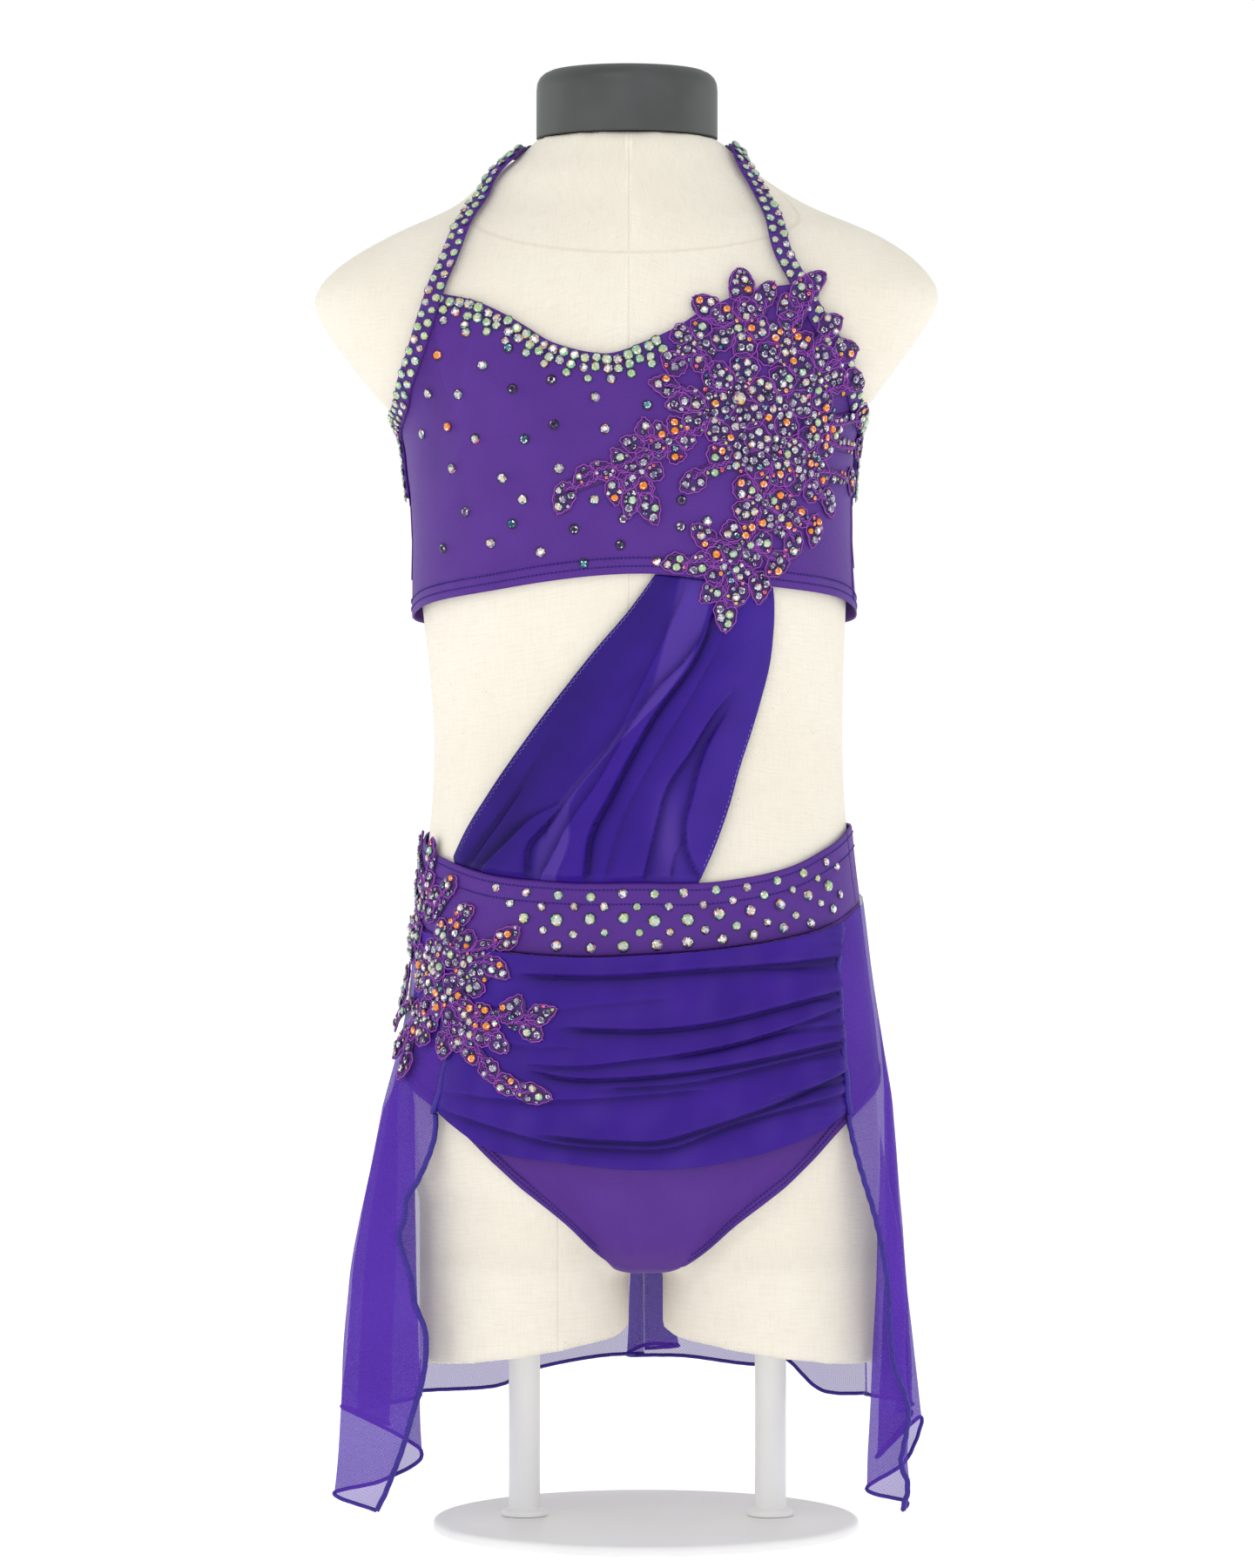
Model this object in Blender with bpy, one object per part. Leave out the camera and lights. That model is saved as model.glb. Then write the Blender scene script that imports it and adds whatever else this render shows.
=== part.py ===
"""Two-piece lyrical dance costume on a limbless dress form.

The tables and sizes are in millimetres: X to the right as seen from the front, the front faces
-Y, Z up from the floor. A turn is the angle round the body from the centre front, in degrees,
positive towards +X. Meshes are written in metres.
"""

import math

import bpy
import numpy as np

MM = 0.001

# Layers, as distances out from the surface of the dress form
FORM_GAP = 1.4
CLOTH_WALL = 1.2
BAND_WALL = 1.6
LAYER_GAP = 0.8
SEAM_GAP = 0.3
OVER_CLOTH = FORM_GAP + CLOTH_WALL + LAYER_GAP

# Dress form: centre_x leans a little to +X towards the hips
FORM_ROUND = 36
FORM_SECTIONS = (
    # height, centre_x, half_width, front, back, roundness
    (152, 9.5, 92, 46, 58, 2.1),
    (165, 9.5, 116, 64, 82, 2.2),
    (185, 9.5, 130, 78, 96, 2.3),
    (215, 9.0, 133.5, 87, 104, 2.4),
    (250, 8.0, 134, 91, 107, 2.4),
    (285, 8.0, 131, 92, 105, 2.4),
    (320, 7.5, 127, 90, 98, 2.4),
    (350, 6.5, 124.5, 87, 91, 2.4),
    (385, 5.5, 121, 82, 84, 2.4),
    (418, 5.5, 118, 78, 79, 2.4),
    (451, 5.5, 117, 77, 77, 2.4),
    (490, 4.5, 118.5, 80, 80, 2.4),
    (530, 3.0, 121.5, 86, 84, 2.4),
    (565, 2.0, 123, 92, 87, 2.4),
    (600, 1.0, 124.5, 95, 89, 2.4),
    (634, 0.0, 131.5, 93, 89, 2.4),
    (650, -2.0, 144.5, 91, 89, 2.35),
    (670, -2.5, 159.5, 88, 88, 2.3),
    (690, -2.5, 173.5, 84, 86, 2.2),
    (706, -1.0, 179.0, 80, 83, 2.1),
    (722, 1.0, 168.5, 74.5, 79, 2.0),
    (741, 3.5, 139.5, 67, 73, 2.0),
    (757, 2.0, 103, 60, 67, 2.0),
    (774, -2.0, 79, 53.5, 61, 2.0),
    (788, 0.0, 60, 49, 54, 2.0),
    (796, -1.0, 52, 47, 50, 2.0),
)
FORM_RINGS = (152, 158, 165, 175, 187, 205, 228, 255, 285, 320, 352, 385, 420, 455,
              490, 525, 560, 595, 622, 645, 666, 686, 700, 708, 715, 725, 738, 753, 768,
              782, 796)

# Thigh ends of the form
THIGHS = {
    # side: centre_x, half_width, front, back
    "left": (-60.0, 60.0, 70.0, 82.0),
    "right": (81.5, 62.0, 70.0, 82.0),
}
THIGH_TOP = 228.0
THIGH_CUT = 104.0
THIGH_CUT_RISE = 9.0
THIGH_ROUND = 26
THIGH_BLEND = 5.0

# Neck cap and stand
NECK_CAP_RINGS = (
    # height, half_width, half_depth
    (796.3, 52.0, 48.5),
    (824.0, 52.0, 48.5),
    (831.0, 50.0, 46.5),
    (835.5, 44.0, 40.5),
)
POST_RADIUS = 9.0
POST_Y = 6.0
BASE_CENTRE_X = 10.0
BASE_RADIUS = 122.0
BASE_THICKNESS = 6.0
BASE_BEVEL = 2.0

# Outlines marked "as seen" are x and height on a flat picture of the costume, taken level with
# its middle from this far in front. What lies nearer than the middle of the body looks larger.
SEEN_FROM = 3100.0
SEEN_CENTRE = (-1.0, 426.0)

NECKLINE = (
    # x, height as seen: left strap to right strap, with the armhole slopes
    (-126, 590), (-123.5, 618), (-126, 641), (-123, 667), (-119, 681), (-115, 694), (-107, 707),
    (-88, 703), (-71, 695.5), (-58, 688), (-46, 680.5), (-33, 676), (-21, 673.5), (-11, 673),
    (-1, 675.5), (6, 678.5), (17, 683), (29, 689), (39, 695.5), (54, 703), (66, 708),
    (79, 710.5), (97, 712.5), (105, 698), (112.5, 685.5), (118, 675.5), (123, 665.5),
    (126, 641), (125.5, 618), (127, 590),
)
TOP_HEM = (
    # turn, height
    (-180, 520), (-130, 519), (-88, 522), (-70, 529), (-48, 535), (-30, 540), (-10, 543.5),
    (8, 544), (26, 541), (48, 537), (70, 532), (88, 524), (130, 519), (180, 520),
)
BACK_BAND_TOP = ((88, 590), (110, 583), (140, 574), (180, 570))
SIDE_SEAM_TURN = 88.0
TOP_CROWDING = 0.75
TOP_ROWS = 8
TOP_STAND_OFF = 3.5
TOP_STAND_HEIGHTS = (524.0, 566.0)
UPPER_EASE = 0.4

BAND_TOP = (
    # turn, height
    (-180, 404), (-120, 402), (-90, 396), (-70, 386), (-52, 376), (-30, 371.5), (0, 371),
    (30, 372), (52, 380), (66, 391), (80, 401), (100, 404), (180, 404),
)
BAND_BOTTOM = (
    # turn, height
    (-180, 364), (-120, 362), (-90, 352), (-70, 342), (-50, 334), (-25, 330), (0, 331),
    (25, 334), (45, 339), (59, 345), (72, 354), (90, 362), (120, 364), (180, 364),
)
BAND_SEAM_TURN = 76.0

# Side seams where skirt and ruched panel meet: height, x
SEAM_LEFT = ((360, -101), (325, -101), (297, -100), (270, -98), (243, -105))
SEAM_RIGHT = ((360, 117), (325, 112.5), (297, 114.5), (270, 116.5), (243, 119.5))
RUCHED_BOTTOM = (
    # x, height
    (-105, 243.5), (-79, 225), (-37, 217), (5, 213), (47, 216), (88, 226), (107, 234),
    (119.5, 243.5),
)
RUCHED_FOLDS = (
    # left_height, middle_height, right_height, rise, width
    (318, 311, 323, 3.0, 9.0),
    (300, 292, 306, 3.4, 10.0),
    (286, 281, 297, 2.6, 7.0),
    (270, 269, 287, 3.4, 8.0),
    (258, 257, 278, 3.6, 8.0),
    (249, 243, 267, 4.0, 8.0),
    (243, 230, 255, 4.2, 8.0),
    (239, 217, 246, 4.4, 7.0),
)
RUCHED_FADE_FROM = -84.0
RUCHED_FADE_OVER = 50.0

# Brief: the leg openings' edge, and the strip under the crotch
BRIEF_TURNS = (0, 8, 16, 22, 27, 31, 35, 40, 45, 50, 57, 66, 77, 88)
LEG_EDGE_SHIFT = 2.0
BRIEF_ROWS = 9
BRIEF_CROWDING = 1.7
LEG_EDGE_FRONT = (
    # turn, height
    (0, 155), (16, 155), (22, 158), (27, 167), (31, 176), (35, 184), (40, 193), (45, 202),
    (50, 213), (57, 229), (66, 243), (77, 253), (88, 260),
)
LEG_EDGE_BACK = (
    # turn, height
    (0, 156), (27, 168), (31, 174), (35, 181), (40, 192), (45, 207), (50, 224), (57, 238),
    (66, 246), (77, 255), (88, 260),
)
CROTCH_COLUMNS_FRONT = 3
CROTCH_COLUMNS_BACK = 2
CROTCH_X = 9.75
CROTCH_PATH = (
    # y, height, half_width
    (-44, 151.0, 17.0), (-30, 150.2, 9.5), (-8, 150.2, 7.3),
)
CROTCH_BACK_PATH = (
    # y, height, half_width
    (61, 150.6, 12.5), (34, 150.2, 7.6), (-6.7, 150.2, 7.3),
)

# Straps: x, height as seen, then turn, height behind the neck
STRAP_WIDTH = 11.0
STRAP_LEFT_FRONT = ((-126, 591), (-128.5, 622), (-127.5, 651), (-123, 668), (-115, 694),
                    (-105, 721), (-92.5, 749), (-80, 767), (-66, 783))
STRAP_LEFT_BACK = ((-105, 787), (-140, 789), (-179.2, 789))
STRAP_RIGHT_FRONT = ((126.5, 591), (129, 622), (127.5, 647), (123, 665.5), (112.5, 685.5),
                     (96.5, 714), (85, 739), (71, 769), (61, 786))
STRAP_RIGHT_BACK = ((105, 788), (140, 789), (179.2, 789))
STRAP_STEPS = 28
STRAP_OFF = OVER_CLOTH + 0.9

# Sash
SASH_EDGES = (
    # fall, left_x, right_x as seen
    (0.0, 15, 82), (0.13, -1, 82), (0.25, -18, 80), (0.38, -35, 75), (0.5, -50, 69),
    (0.62, -64, 62.5), (0.75, -78, 56.5), (0.87, -90, 49.5), (1.0, -100, 40),
)
SASH_PLEATS = (
    # place_at_top, place_midway, place_at_bottom, rise, width: a fall is a crease
    (0.03, 0.03, 0.04, 1.2, 0.05),
    (0.26, 0.20, 0.15, 2.4, 0.10),
    (0.48, 0.37, 0.30, 3.4, 0.07),
    (0.60, 0.49, 0.50, -3.0, 0.05),
    (0.72, 0.62, 0.62, 3.2, 0.09),
    (0.86, 0.82, 0.74, -2.2, 0.05),
    (0.95, 0.93, 0.90, 2.4, 0.07),
)
SASH_NEARNESS = 0.973
SASH_GATHERS = 9
SASH_BASE = 3.4

# Skirt: each rib is one fold line from the waistband to the hem
SKIRT_WALL = 1.0
SKIRT_OFF = 4.8
HIP_HEIGHT = 243.0
MID_HEIGHT = 150.0
SKIRT_RIBS_RIGHT = (
    # top_turn, hip_x, hip_y, mid_x, mid_y, hem_x, hem_y, hem_height
    (60, 125, -55, 145, -66, 154, -62, 18),
    (72, 138.5, -45, 155, -55, 156.5, -54, 22),
    (78, 143.5, -34, 140, -45, 134.5, -46, 30),
    (84, 150.5, -17, 156, -26, 166, -30, 67),
    (92, 147.5, 2, 152, 4, 154, 6, 66),
    (101, 152, 26, 160, 32, 165, 36, 67),
    (113, 135, 52, 139, 60, 140, 62, 69),
    (125, 124, 80, 133, 90, 140, 96, 66),
    (134, 107, 91, 111, 100, 114, 106, 67),
    (143, 88, 106, 91, 109, 92, 111, 86),
    (153, 68, 117, 73, 127, 76, 134, 79),
    (166, 38, 117, 38, 120, 38, 122, 85),
    (179.9, 8.7, 122, 9.3, 132, 9.8, 140, 85),
)
SKIRT_RIBS_LEFT = (
    # top_turn, hip_x, hip_y, mid_x, mid_y, hem_x, hem_y, hem_height
    (-60, -110.5, -55, -125.5, -66, -142, -64, 18),
    (-68, -130, -45, -154.5, -57, -166, -50, 27),
    (-75, -131.5, -33, -120, -42, -117, -40, 52),
    (-84, -140.5, -16, -151, -20, -161, -16, 71),
    (-92, -133, 6, -134, 8, -138, 10, 58),
    (-103, -136, 30, -146, 36, -152, 40, 62),
    (-115, -119, 56, -122, 64, -124, 66, 67),
    (-127, -106, 84, -115, 94, -122, 100, 67),
    (-140, -76, 101, -78, 107, -79, 109, 69),
    (-153, -52, 117, -56, 127, -58, 135, 76),
    (-166, -20, 117, -20, 120, -20, 122, 85),
    (-179.9, 7.9, 122, 8.5, 132, 9.0, 140, 85),
)
EDGE_SWAY_LEFT = (
    # height, extra x of the front edge over its straight fall
    (18, 0), (38, 1), (61, 3), (82, 4.5), (97, 5.5), (118, 2), (138, -2), (155, 0), (170, -6),
    (184, -5), (198, -4), (213, -2), (229, 0), (243, 0),
)
EDGE_SWAY_RIGHT = (
    # height, extra x of the front edge over its straight fall
    (18, 0), (32, 4), (44, 1), (57, 4), (73, 7), (82, 6), (97, 1), (120, -1), (143, 0),
    (164, 0), (185, 0), (207, -1), (229, -1), (243, 0),
)
SKIRT_COLUMNS = 34
SKIRT_LOWER_ROWS = 7

# Corded lace: leaves and flowers of each applique, as seen
LACE_WALL = 1.2
LACE_DOME = 1.3
LACE_CELL = 7.3
VINE_RADIUS = 4.0
PETALS = 5
BUST_LEAVES = (
    # x, height, angle, length, width
    (-37, 591, 250, 19, 12), (-26, 603, 225, 15, 10), (-15, 607, 150, 15, 10),
    (-5, 613, 120, 15, 10), (2, 622, 170, 14, 10), (-8, 595, 265, 16, 10),
    (1, 588, 255, 17, 10), (12, 585, 285, 19, 12), (9, 630, 100, 13, 10),
    (20, 655, 160, 17, 12), (25, 668, 130, 17, 12), (28, 645, 200, 15, 11),
    (44, 700, 150, 18, 13), (64, 712, 105, 20, 14), (78, 707, 60, 16, 12),
    (98, 708, 80, 18, 13), (106, 714, 40, 15, 11), (90, 700, 120, 16, 12),
    (114, 690, 30, 17, 12), (122, 676, 10, 18, 12), (126, 660, 340, 17, 12),
    (129, 640, 350, 18, 13), (127, 620, 330, 17, 12), (124, 600, 300, 18, 12),
    (112, 588, 290, 18, 12), (104, 572, 260, 19, 12), (92, 564, 250, 18, 12),
    (83, 553, 235, 18, 12), (73, 540, 265, 18, 12), (60, 536, 245, 18, 12),
    (54, 524, 265, 19, 12), (46, 537, 215, 15, 11), (40, 553, 200, 17, 12),
    (26, 554, 190, 15, 11), (42, 570, 140, 17, 12), (36, 600, 210, 17, 12),
)
BUST_FLOWERS = (
    # x, height, radius
    (6, 606, 13), (24, 624, 13), (46, 640, 17), (38, 678, 15), (62, 688, 17), (88, 680, 17),
    (62, 652, 21), (84, 646, 20), (106, 660, 18), (108, 632, 18), (82, 618, 20),
    (60, 622, 17), (100, 606, 17), (74, 590, 17), (88, 580, 15), (66, 566, 15), (56, 552, 14),
)
BUST_VINES = (
    # from_x, from_height, to_x, to_height
    (-37, 596, -15, 604), (-26, 603, -5, 609), (-5, 609, 24, 618), (2, 600, 6, 600),
    (6, 606, -6, 597), (9, 606, 13, 588), (24, 624, 46, 636), (9, 626, 20, 622),
    (24, 668, 44, 672), (44, 694, 60, 690), (64, 706, 64, 690), (78, 704, 72, 690),
    (98, 702, 90, 686), (104, 708, 94, 690), (114, 686, 100, 672), (120, 672, 106, 664),
    (124, 656, 108, 652), (126, 638, 108, 634), (124, 620, 108, 624), (120, 602, 104, 606),
    (110, 590, 100, 600), (102, 576, 92, 584), (92, 566, 84, 576), (82, 556, 70, 566),
    (72, 545, 62, 556), (60, 540, 56, 552), (54, 530, 56, 546), (46, 540, 54, 548),
    (30, 554, 56, 554), (42, 568, 60, 562), (36, 602, 58, 612), (38, 678, 50, 650),
    (20, 655, 40, 648), (74, 590, 80, 612), (66, 566, 74, 586),
)
HIP_LEAVES = (
    # x, height, angle, length, width
    (-119, 392, 100, 15, 10), (-110, 388, 70, 15, 10), (-100, 368, 40, 15, 11),
    (-126, 372, 120, 15, 11), (-92, 352, 30, 15, 11), (-68, 338, 40, 18, 12),
    (-72, 320, 320, 17, 11), (-80, 332, 10, 14, 10), (-64, 297, 40, 18, 12),
    (-48, 294, 20, 17, 11), (-53, 284, 320, 14, 11), (-88, 296, 340, 17, 11),
    (-72, 278, 320, 16, 11), (-100, 276, 260, 16, 12), (-86, 272, 290, 15, 11),
    (-76, 262, 300, 15, 11), (-66, 254, 340, 16, 11), (-52, 249, 350, 20, 11),
    (-121, 276, 250, 18, 12), (-117, 264, 260, 16, 10), (-128, 290, 230, 16, 12),
)
HIP_FLOWERS = (
    # x, height, radius
    (-112, 362, 15), (-118, 340, 17), (-98, 336, 16), (-110, 320, 17), (-86, 318, 14),
    (-122, 308, 16), (-98, 302, 15), (-112, 290, 14), (-82, 288, 12), (-88, 282, 12),
)
HIP_VINES = (
    # from_x, from_height, to_x, to_height
    (-118, 388, -113, 370), (-109, 384, -112, 366), (-100, 366, -108, 352),
    (-124, 368, -116, 352), (-92, 352, -98, 342), (-70, 336, -90, 330), (-72, 322, -86, 322),
    (-64, 295, -84, 290), (-50, 293, -64, 289), (-54, 286, -62, 289), (-88, 296, -96, 300),
    (-72, 280, -84, 286), (-100, 278, -96, 290), (-86, 274, -88, 284), (-78, 264, -86, 276),
    (-68, 256, -78, 264), (-54, 250, -68, 256), (-121, 278, -114, 292),
    (-118, 266, -116, 284), (-128, 292, -118, 300),
)

COLOURS = {
    # name: red, green, blue, roughness, metallic
    "linen": (0.88, 0.85, 0.76, 0.9, 0.0),
    "cap": (0.06, 0.065, 0.065, 0.5, 0.0),
    "stand": (0.85, 0.85, 0.85, 0.4, 0.0),
    "spandex": (0.11, 0.035, 0.29, 0.5, 0.0),
    "mesh": (0.07, 0.03, 0.33, 0.7, 0.0),
    "lace": (0.25, 0.07, 0.38, 0.6, 0.0),
}


def flow(places, values, at):
    """A smooth curve through a table's values, read at one place or many."""
    places = np.asarray(places, float)
    values = np.asarray(values, float)
    slopes = np.gradient(values, places)
    at = np.clip(at, places[0], places[-1])
    i = np.clip(np.searchsorted(places, at) - 1, 0, len(places) - 2)
    span = places[i + 1] - places[i]
    t = (at - places[i]) / span
    rise = values[i + 1] - values[i]
    start = slopes[i] * span
    end = slopes[i + 1] * span
    return values[i] + t * (start + t * (3 * rise - 2 * start - end + t * (start + end - 2 * rise)))


def column(table, number):
    """One column of a table."""
    return [row[number] for row in table]


def section(z):
    """Centre, half width, front, back and roundness of the torso at a height."""
    heights = column(FORM_SECTIONS, 0)
    return [flow(heights, column(FORM_SECTIONS, i), z) for i in range(1, 6)]


def soft_max(a, b, blend):
    """The larger of two values, with a rounded change over."""
    return (a + b + np.sqrt((a - b) ** 2 + blend**2)) / 2


def torso_xy(turn, z):
    """Plan position on the torso at a turn in radians and a height."""
    centre, half, front, back, power = section(z)
    side = np.abs(np.sin(turn))
    ahead = np.abs(np.cos(turn))
    depth = np.where(np.cos(turn) > 0, front, back)
    reach = ((side / half) ** power + (ahead / depth) ** power) ** (-1 / power)
    return centre + reach * np.sin(turn), -reach * np.cos(turn)


def body(turn, z):
    """A point on the form, with the thigh ends blended in below the hips."""
    turn, z = np.broadcast_arrays(np.asarray(turn, float), np.asarray(z, float))
    x, y = torso_xy(turn, z)
    ahead = np.cos(turn)
    blend = THIGH_BLEND * np.abs(ahead)
    depth = np.abs(y)
    for centre, half, front, back in THIGHS.values():
        reach = np.where(ahead > 0, front, back)
        across = np.clip(1 - ((x - centre) / half) ** 2, 0, 1)
        thigh = reach * np.sqrt(across)
        depth = np.where(z < THIGH_TOP + 20, soft_max(depth, thigh, blend), depth)
    return np.stack([x, np.where(ahead > 0, -depth, depth), z], axis=-1)


def on_body(turn, z, off):
    """A point moved out from the form along its normal."""
    turn, z, off = np.broadcast_arrays(
        np.asarray(turn, float), np.asarray(z, float), np.asarray(off, float)
    )
    step = 0.02
    rise = 1.0
    round_way = body(turn + step, z) - body(turn - step, z)
    up_way = body(turn, z + rise) - body(turn, z - rise)
    normal = np.cross(round_way, up_way)
    normal /= np.linalg.norm(normal, axis=-1, keepdims=True)
    return body(turn, z) + normal * off[..., None]


def turn_at(x, z):
    """The turn of a front point seen at x and a height, in radians."""
    centre, half, front, _, power = section(z)
    across = np.clip(np.abs(np.asarray(x, float) - centre) / half, 0, 0.9999)
    depth = front * (1 - across**power) ** (1 / power)
    return np.arctan2(np.asarray(x, float) - centre, depth)


def from_seen(x, z, off=0.0):
    """Where a point seen at x and a height lies on the body."""
    seen = np.array([x, z], float)
    centre = np.array(SEEN_CENTRE)
    true = seen
    for _ in range(3):
        depth = -float(on_body(turn_at(*true), true[1], off)[1])
        true = centre + (seen - centre) * (1 - depth / SEEN_FROM)
    return float(true[0]), float(true[1])


def material(name):
    """A plain Principled material of the table of colours."""
    found = bpy.data.materials.get(name)
    if found:
        return found
    red, green, blue, roughness, metallic = COLOURS[name]
    made = bpy.data.materials.new(name)
    made.use_nodes = True
    shader = made.node_tree.nodes["Principled BSDF"]
    shader.inputs["Base Color"].default_value = (red, green, blue, 1)
    shader.inputs["Roughness"].default_value = roughness
    shader.inputs["Metallic"].default_value = metallic
    return made


def signed_volume(points, faces):
    """Six times the volume that the faces close in, positive where they face out."""
    total = 0.0
    for face in faces:
        first = points[face[0]]
        for a, b in zip(face[1:-1], face[2:]):
            total += np.dot(first, np.cross(points[a], points[b]))
    return total


def add_solid(name, points, faces, finish, smooth_angle=50.0):
    """One named object from points in millimetres, with its faces turned out."""
    points = np.asarray(points, float)
    if signed_volume(points, faces) < 0:
        faces = [tuple(reversed(face)) for face in faces]
    mesh = bpy.data.meshes.new(name)
    mesh.from_pydata((points * MM).tolist(), [], [tuple(face) for face in faces])
    mesh.materials.append(material(finish))
    mesh.shade_smooth()
    mesh.set_sharp_from_angle(angle=math.radians(smooth_angle))
    thing = bpy.data.objects.new(name, mesh)
    bpy.context.collection.objects.link(thing)
    return thing


def grid_faces(rows, columns):
    """The four-sided faces of a grid of points."""
    faces = []
    for row in range(rows - 1):
        for col in range(columns - 1):
            low = row * columns + col
            faces.append((low, low + 1, low + 1 + columns, low + columns))
    return faces


def wall(name, inner, outer, faces, finish):
    """A closed wall between two sheets that share the same faces, with a rim on each edge."""
    count = len(inner)
    closed = [tuple(count + i for i in face) for face in faces]
    closed += [tuple(reversed(face)) for face in faces]
    edges = {(a, b) for face in faces for a, b in zip(face, face[1:] + face[:1])}
    for a, b in sorted(edges):
        if (b, a) not in edges:
            closed.append((a, b, count + b, count + a))
    return add_solid(name, np.concatenate([inner, outer]), closed, finish)


def shell(name, inner, outer, finish):
    """A closed wall between two grids of points with the same rows and columns."""
    faces = grid_faces(*inner.shape[:2])
    return wall(name, inner.reshape(-1, 3), outer.reshape(-1, 3), faces, finish)


def rings_solid(name, rings, finish):
    """A closed solid through rings of points, each end closed by one face."""
    count = len(rings[0])
    points = np.concatenate(rings)
    faces = []
    for level in range(len(rings) - 1):
        for i in range(count):
            j = (i + 1) % count
            low = level * count
            faces.append((low + i, low + j, low + count + j, low + count + i))
    faces.append(tuple(range(count))[::-1])
    last = (len(rings) - 1) * count
    faces.append(tuple(range(last, last + count)))
    return add_solid(name, points, faces, finish)


def ellipse(centre_x, centre_y, half_width, front, back, z, count):
    """A level ring with its own depth in front and behind."""
    angles = np.arange(count) * 2 * math.pi / count
    x = centre_x + half_width * np.sin(angles)
    depth = np.where(np.cos(angles) > 0, front, back)
    return np.stack([x, centre_y - depth * np.cos(angles), np.full(count, float(z))], axis=-1)


def thigh_cut(side, x):
    """Height of the slanted cut across a thigh end, higher on its inner side."""
    centre, half = THIGHS[side][:2]
    inward = 1 if side == "left" else -1
    return THIGH_CUT + THIGH_CUT_RISE * inward * (x - centre) / half


def make_thigh(side):
    """A thigh end that the torso takes in by a union."""
    centre, half, front, back = THIGHS[side]
    rings = []
    for share in (0.0, 0.05, 0.35, 0.7, 1.0):
        ring = ellipse(centre, 0, half, front, back, 0, THIGH_ROUND)
        tuck = 1 - 0.03 * (share == 0.0)
        ring[:, 0] = centre + (ring[:, 0] - centre) * tuck
        ring[:, 1] *= tuck
        low = thigh_cut(side, ring[:, 0])
        ring[:, 2] = low + (THIGH_TOP - low) * share
        rings.append(ring)
    thigh = rings_solid("guide_thigh_" + side, rings, "linen")
    thigh.hide_render = True
    thigh.display_type = "WIRE"
    return thigh


def make_dress_form():
    """The linen covered torso, with shoulder caps and two thigh ends."""
    turns = np.arange(FORM_ROUND) * 2 * math.pi / FORM_ROUND
    rings = []
    for z in FORM_RINGS:
        x, y = torso_xy(turns, float(z))
        rings.append(np.stack([x, y, np.full(FORM_ROUND, float(z))], axis=-1))
    form = rings_solid("dress_form", rings, "linen")
    for side in THIGHS:
        join = form.modifiers.new("thigh_" + side, "BOOLEAN")
        join.operation = "UNION"
        join.solver = "EXACT"
        join.object = make_thigh(side)


def make_neck_cap():
    """The dark plastic cap on the neck."""
    rings = [
        ellipse(-1, 0, half, depth, depth, z, 28) for z, half, depth in NECK_CAP_RINGS
    ]
    rings_solid("neck_cap", rings, "cap")


def make_stand():
    """Two posts under the thigh ends, on a low round base."""
    count = 40
    rings = [
        ellipse(BASE_CENTRE_X, 0, radius, radius, radius, z, count)
        for z, radius in (
            (0, BASE_RADIUS),
            (BASE_THICKNESS - BASE_BEVEL, BASE_RADIUS),
            (BASE_THICKNESS, BASE_RADIUS - BASE_BEVEL),
        )
    ]
    rings_solid("stand_base", rings, "stand")
    for side, (centre, *_) in THIGHS.items():
        foot = ellipse(centre, POST_Y, POST_RADIUS, POST_RADIUS, POST_RADIUS, 0, 16)
        foot[:, 2] = BASE_THICKNESS + SEAM_GAP
        head = foot.copy()
        head[:, 2] = thigh_cut(side, head[:, 0]) - SEAM_GAP
        rings_solid("stand_post_" + side, [foot, head], "stand")


def band_edge(table, turn):
    """Height of an edge given by turns in degrees."""
    return flow(column(table, 0), column(table, 1), np.degrees(turn))


def seen_edge(table, turn):
    """Height of an edge given as seen from the front, at a turn."""
    turns = [float(turn_at(x, z)) for x, z in table]
    return np.interp(turn, turns, column(table, 1))


def panel(name, turns, low, high, rows, finish, inside, outside, crowding=1.0):
    """A wall on the form between a low and a high edge. Its offsets may be functions."""
    share = (np.linspace(0, 1, rows) ** crowding)[:, None]
    z = low[None, :] + (high - low)[None, :] * share
    turn = np.broadcast_to(turns[None, :], z.shape)
    under = inside(turn, z) if callable(inside) else inside
    over = outside(turn, z) if callable(outside) else outside
    return shell(name, on_body(turn, z, under), on_body(turn, z, over), finish)


def top_inside(turn, z):
    """The top hangs a little off the form at its sides, towards the hem."""
    low, high = TOP_STAND_HEIGHTS
    share = np.clip((high - z) / (high - low), 0, 1)
    upper = np.clip((z - 605) / 20, 0, 1)
    return FORM_GAP + TOP_STAND_OFF * share * np.sin(turn) ** 4 + UPPER_EASE * upper


def top_outside(turn, z):
    """Outer side of the top."""
    return top_inside(turn, z) + CLOTH_WALL


def make_top():
    """Front panel with its sweetheart neckline, and the band round the back."""
    side = math.radians(SIDE_SEAM_TURN)
    edge = [from_seen(x, z) for x, z in NECKLINE]
    corners = [-side] + [float(turn_at(x, z)) for x, z in edge[1:-1]] + [side]
    extra = [(a + b) / 2 for a, b in zip(corners, corners[1:]) if b - a > math.radians(5.5)]
    turns = np.sort(np.array(corners + extra))
    high = np.interp(turns, corners, column(edge, 1))
    low = band_edge(TOP_HEM, turns)
    panel("top_front", turns, low, high, TOP_ROWS, "spandex", top_inside, top_outside, TOP_CROWDING)
    gap = SEAM_GAP / 125
    round_back = np.linspace(side + gap, 2 * math.pi - side - gap, 26)
    off_centre = np.abs(round_back - math.pi)
    low = flow(column(TOP_HEM, 0), column(TOP_HEM, 1), 180 - np.degrees(off_centre))
    high = band_edge(BACK_BAND_TOP, math.pi - off_centre)
    panel("top_back", round_back, low, high, 4, "spandex", top_inside, top_outside)


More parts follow.
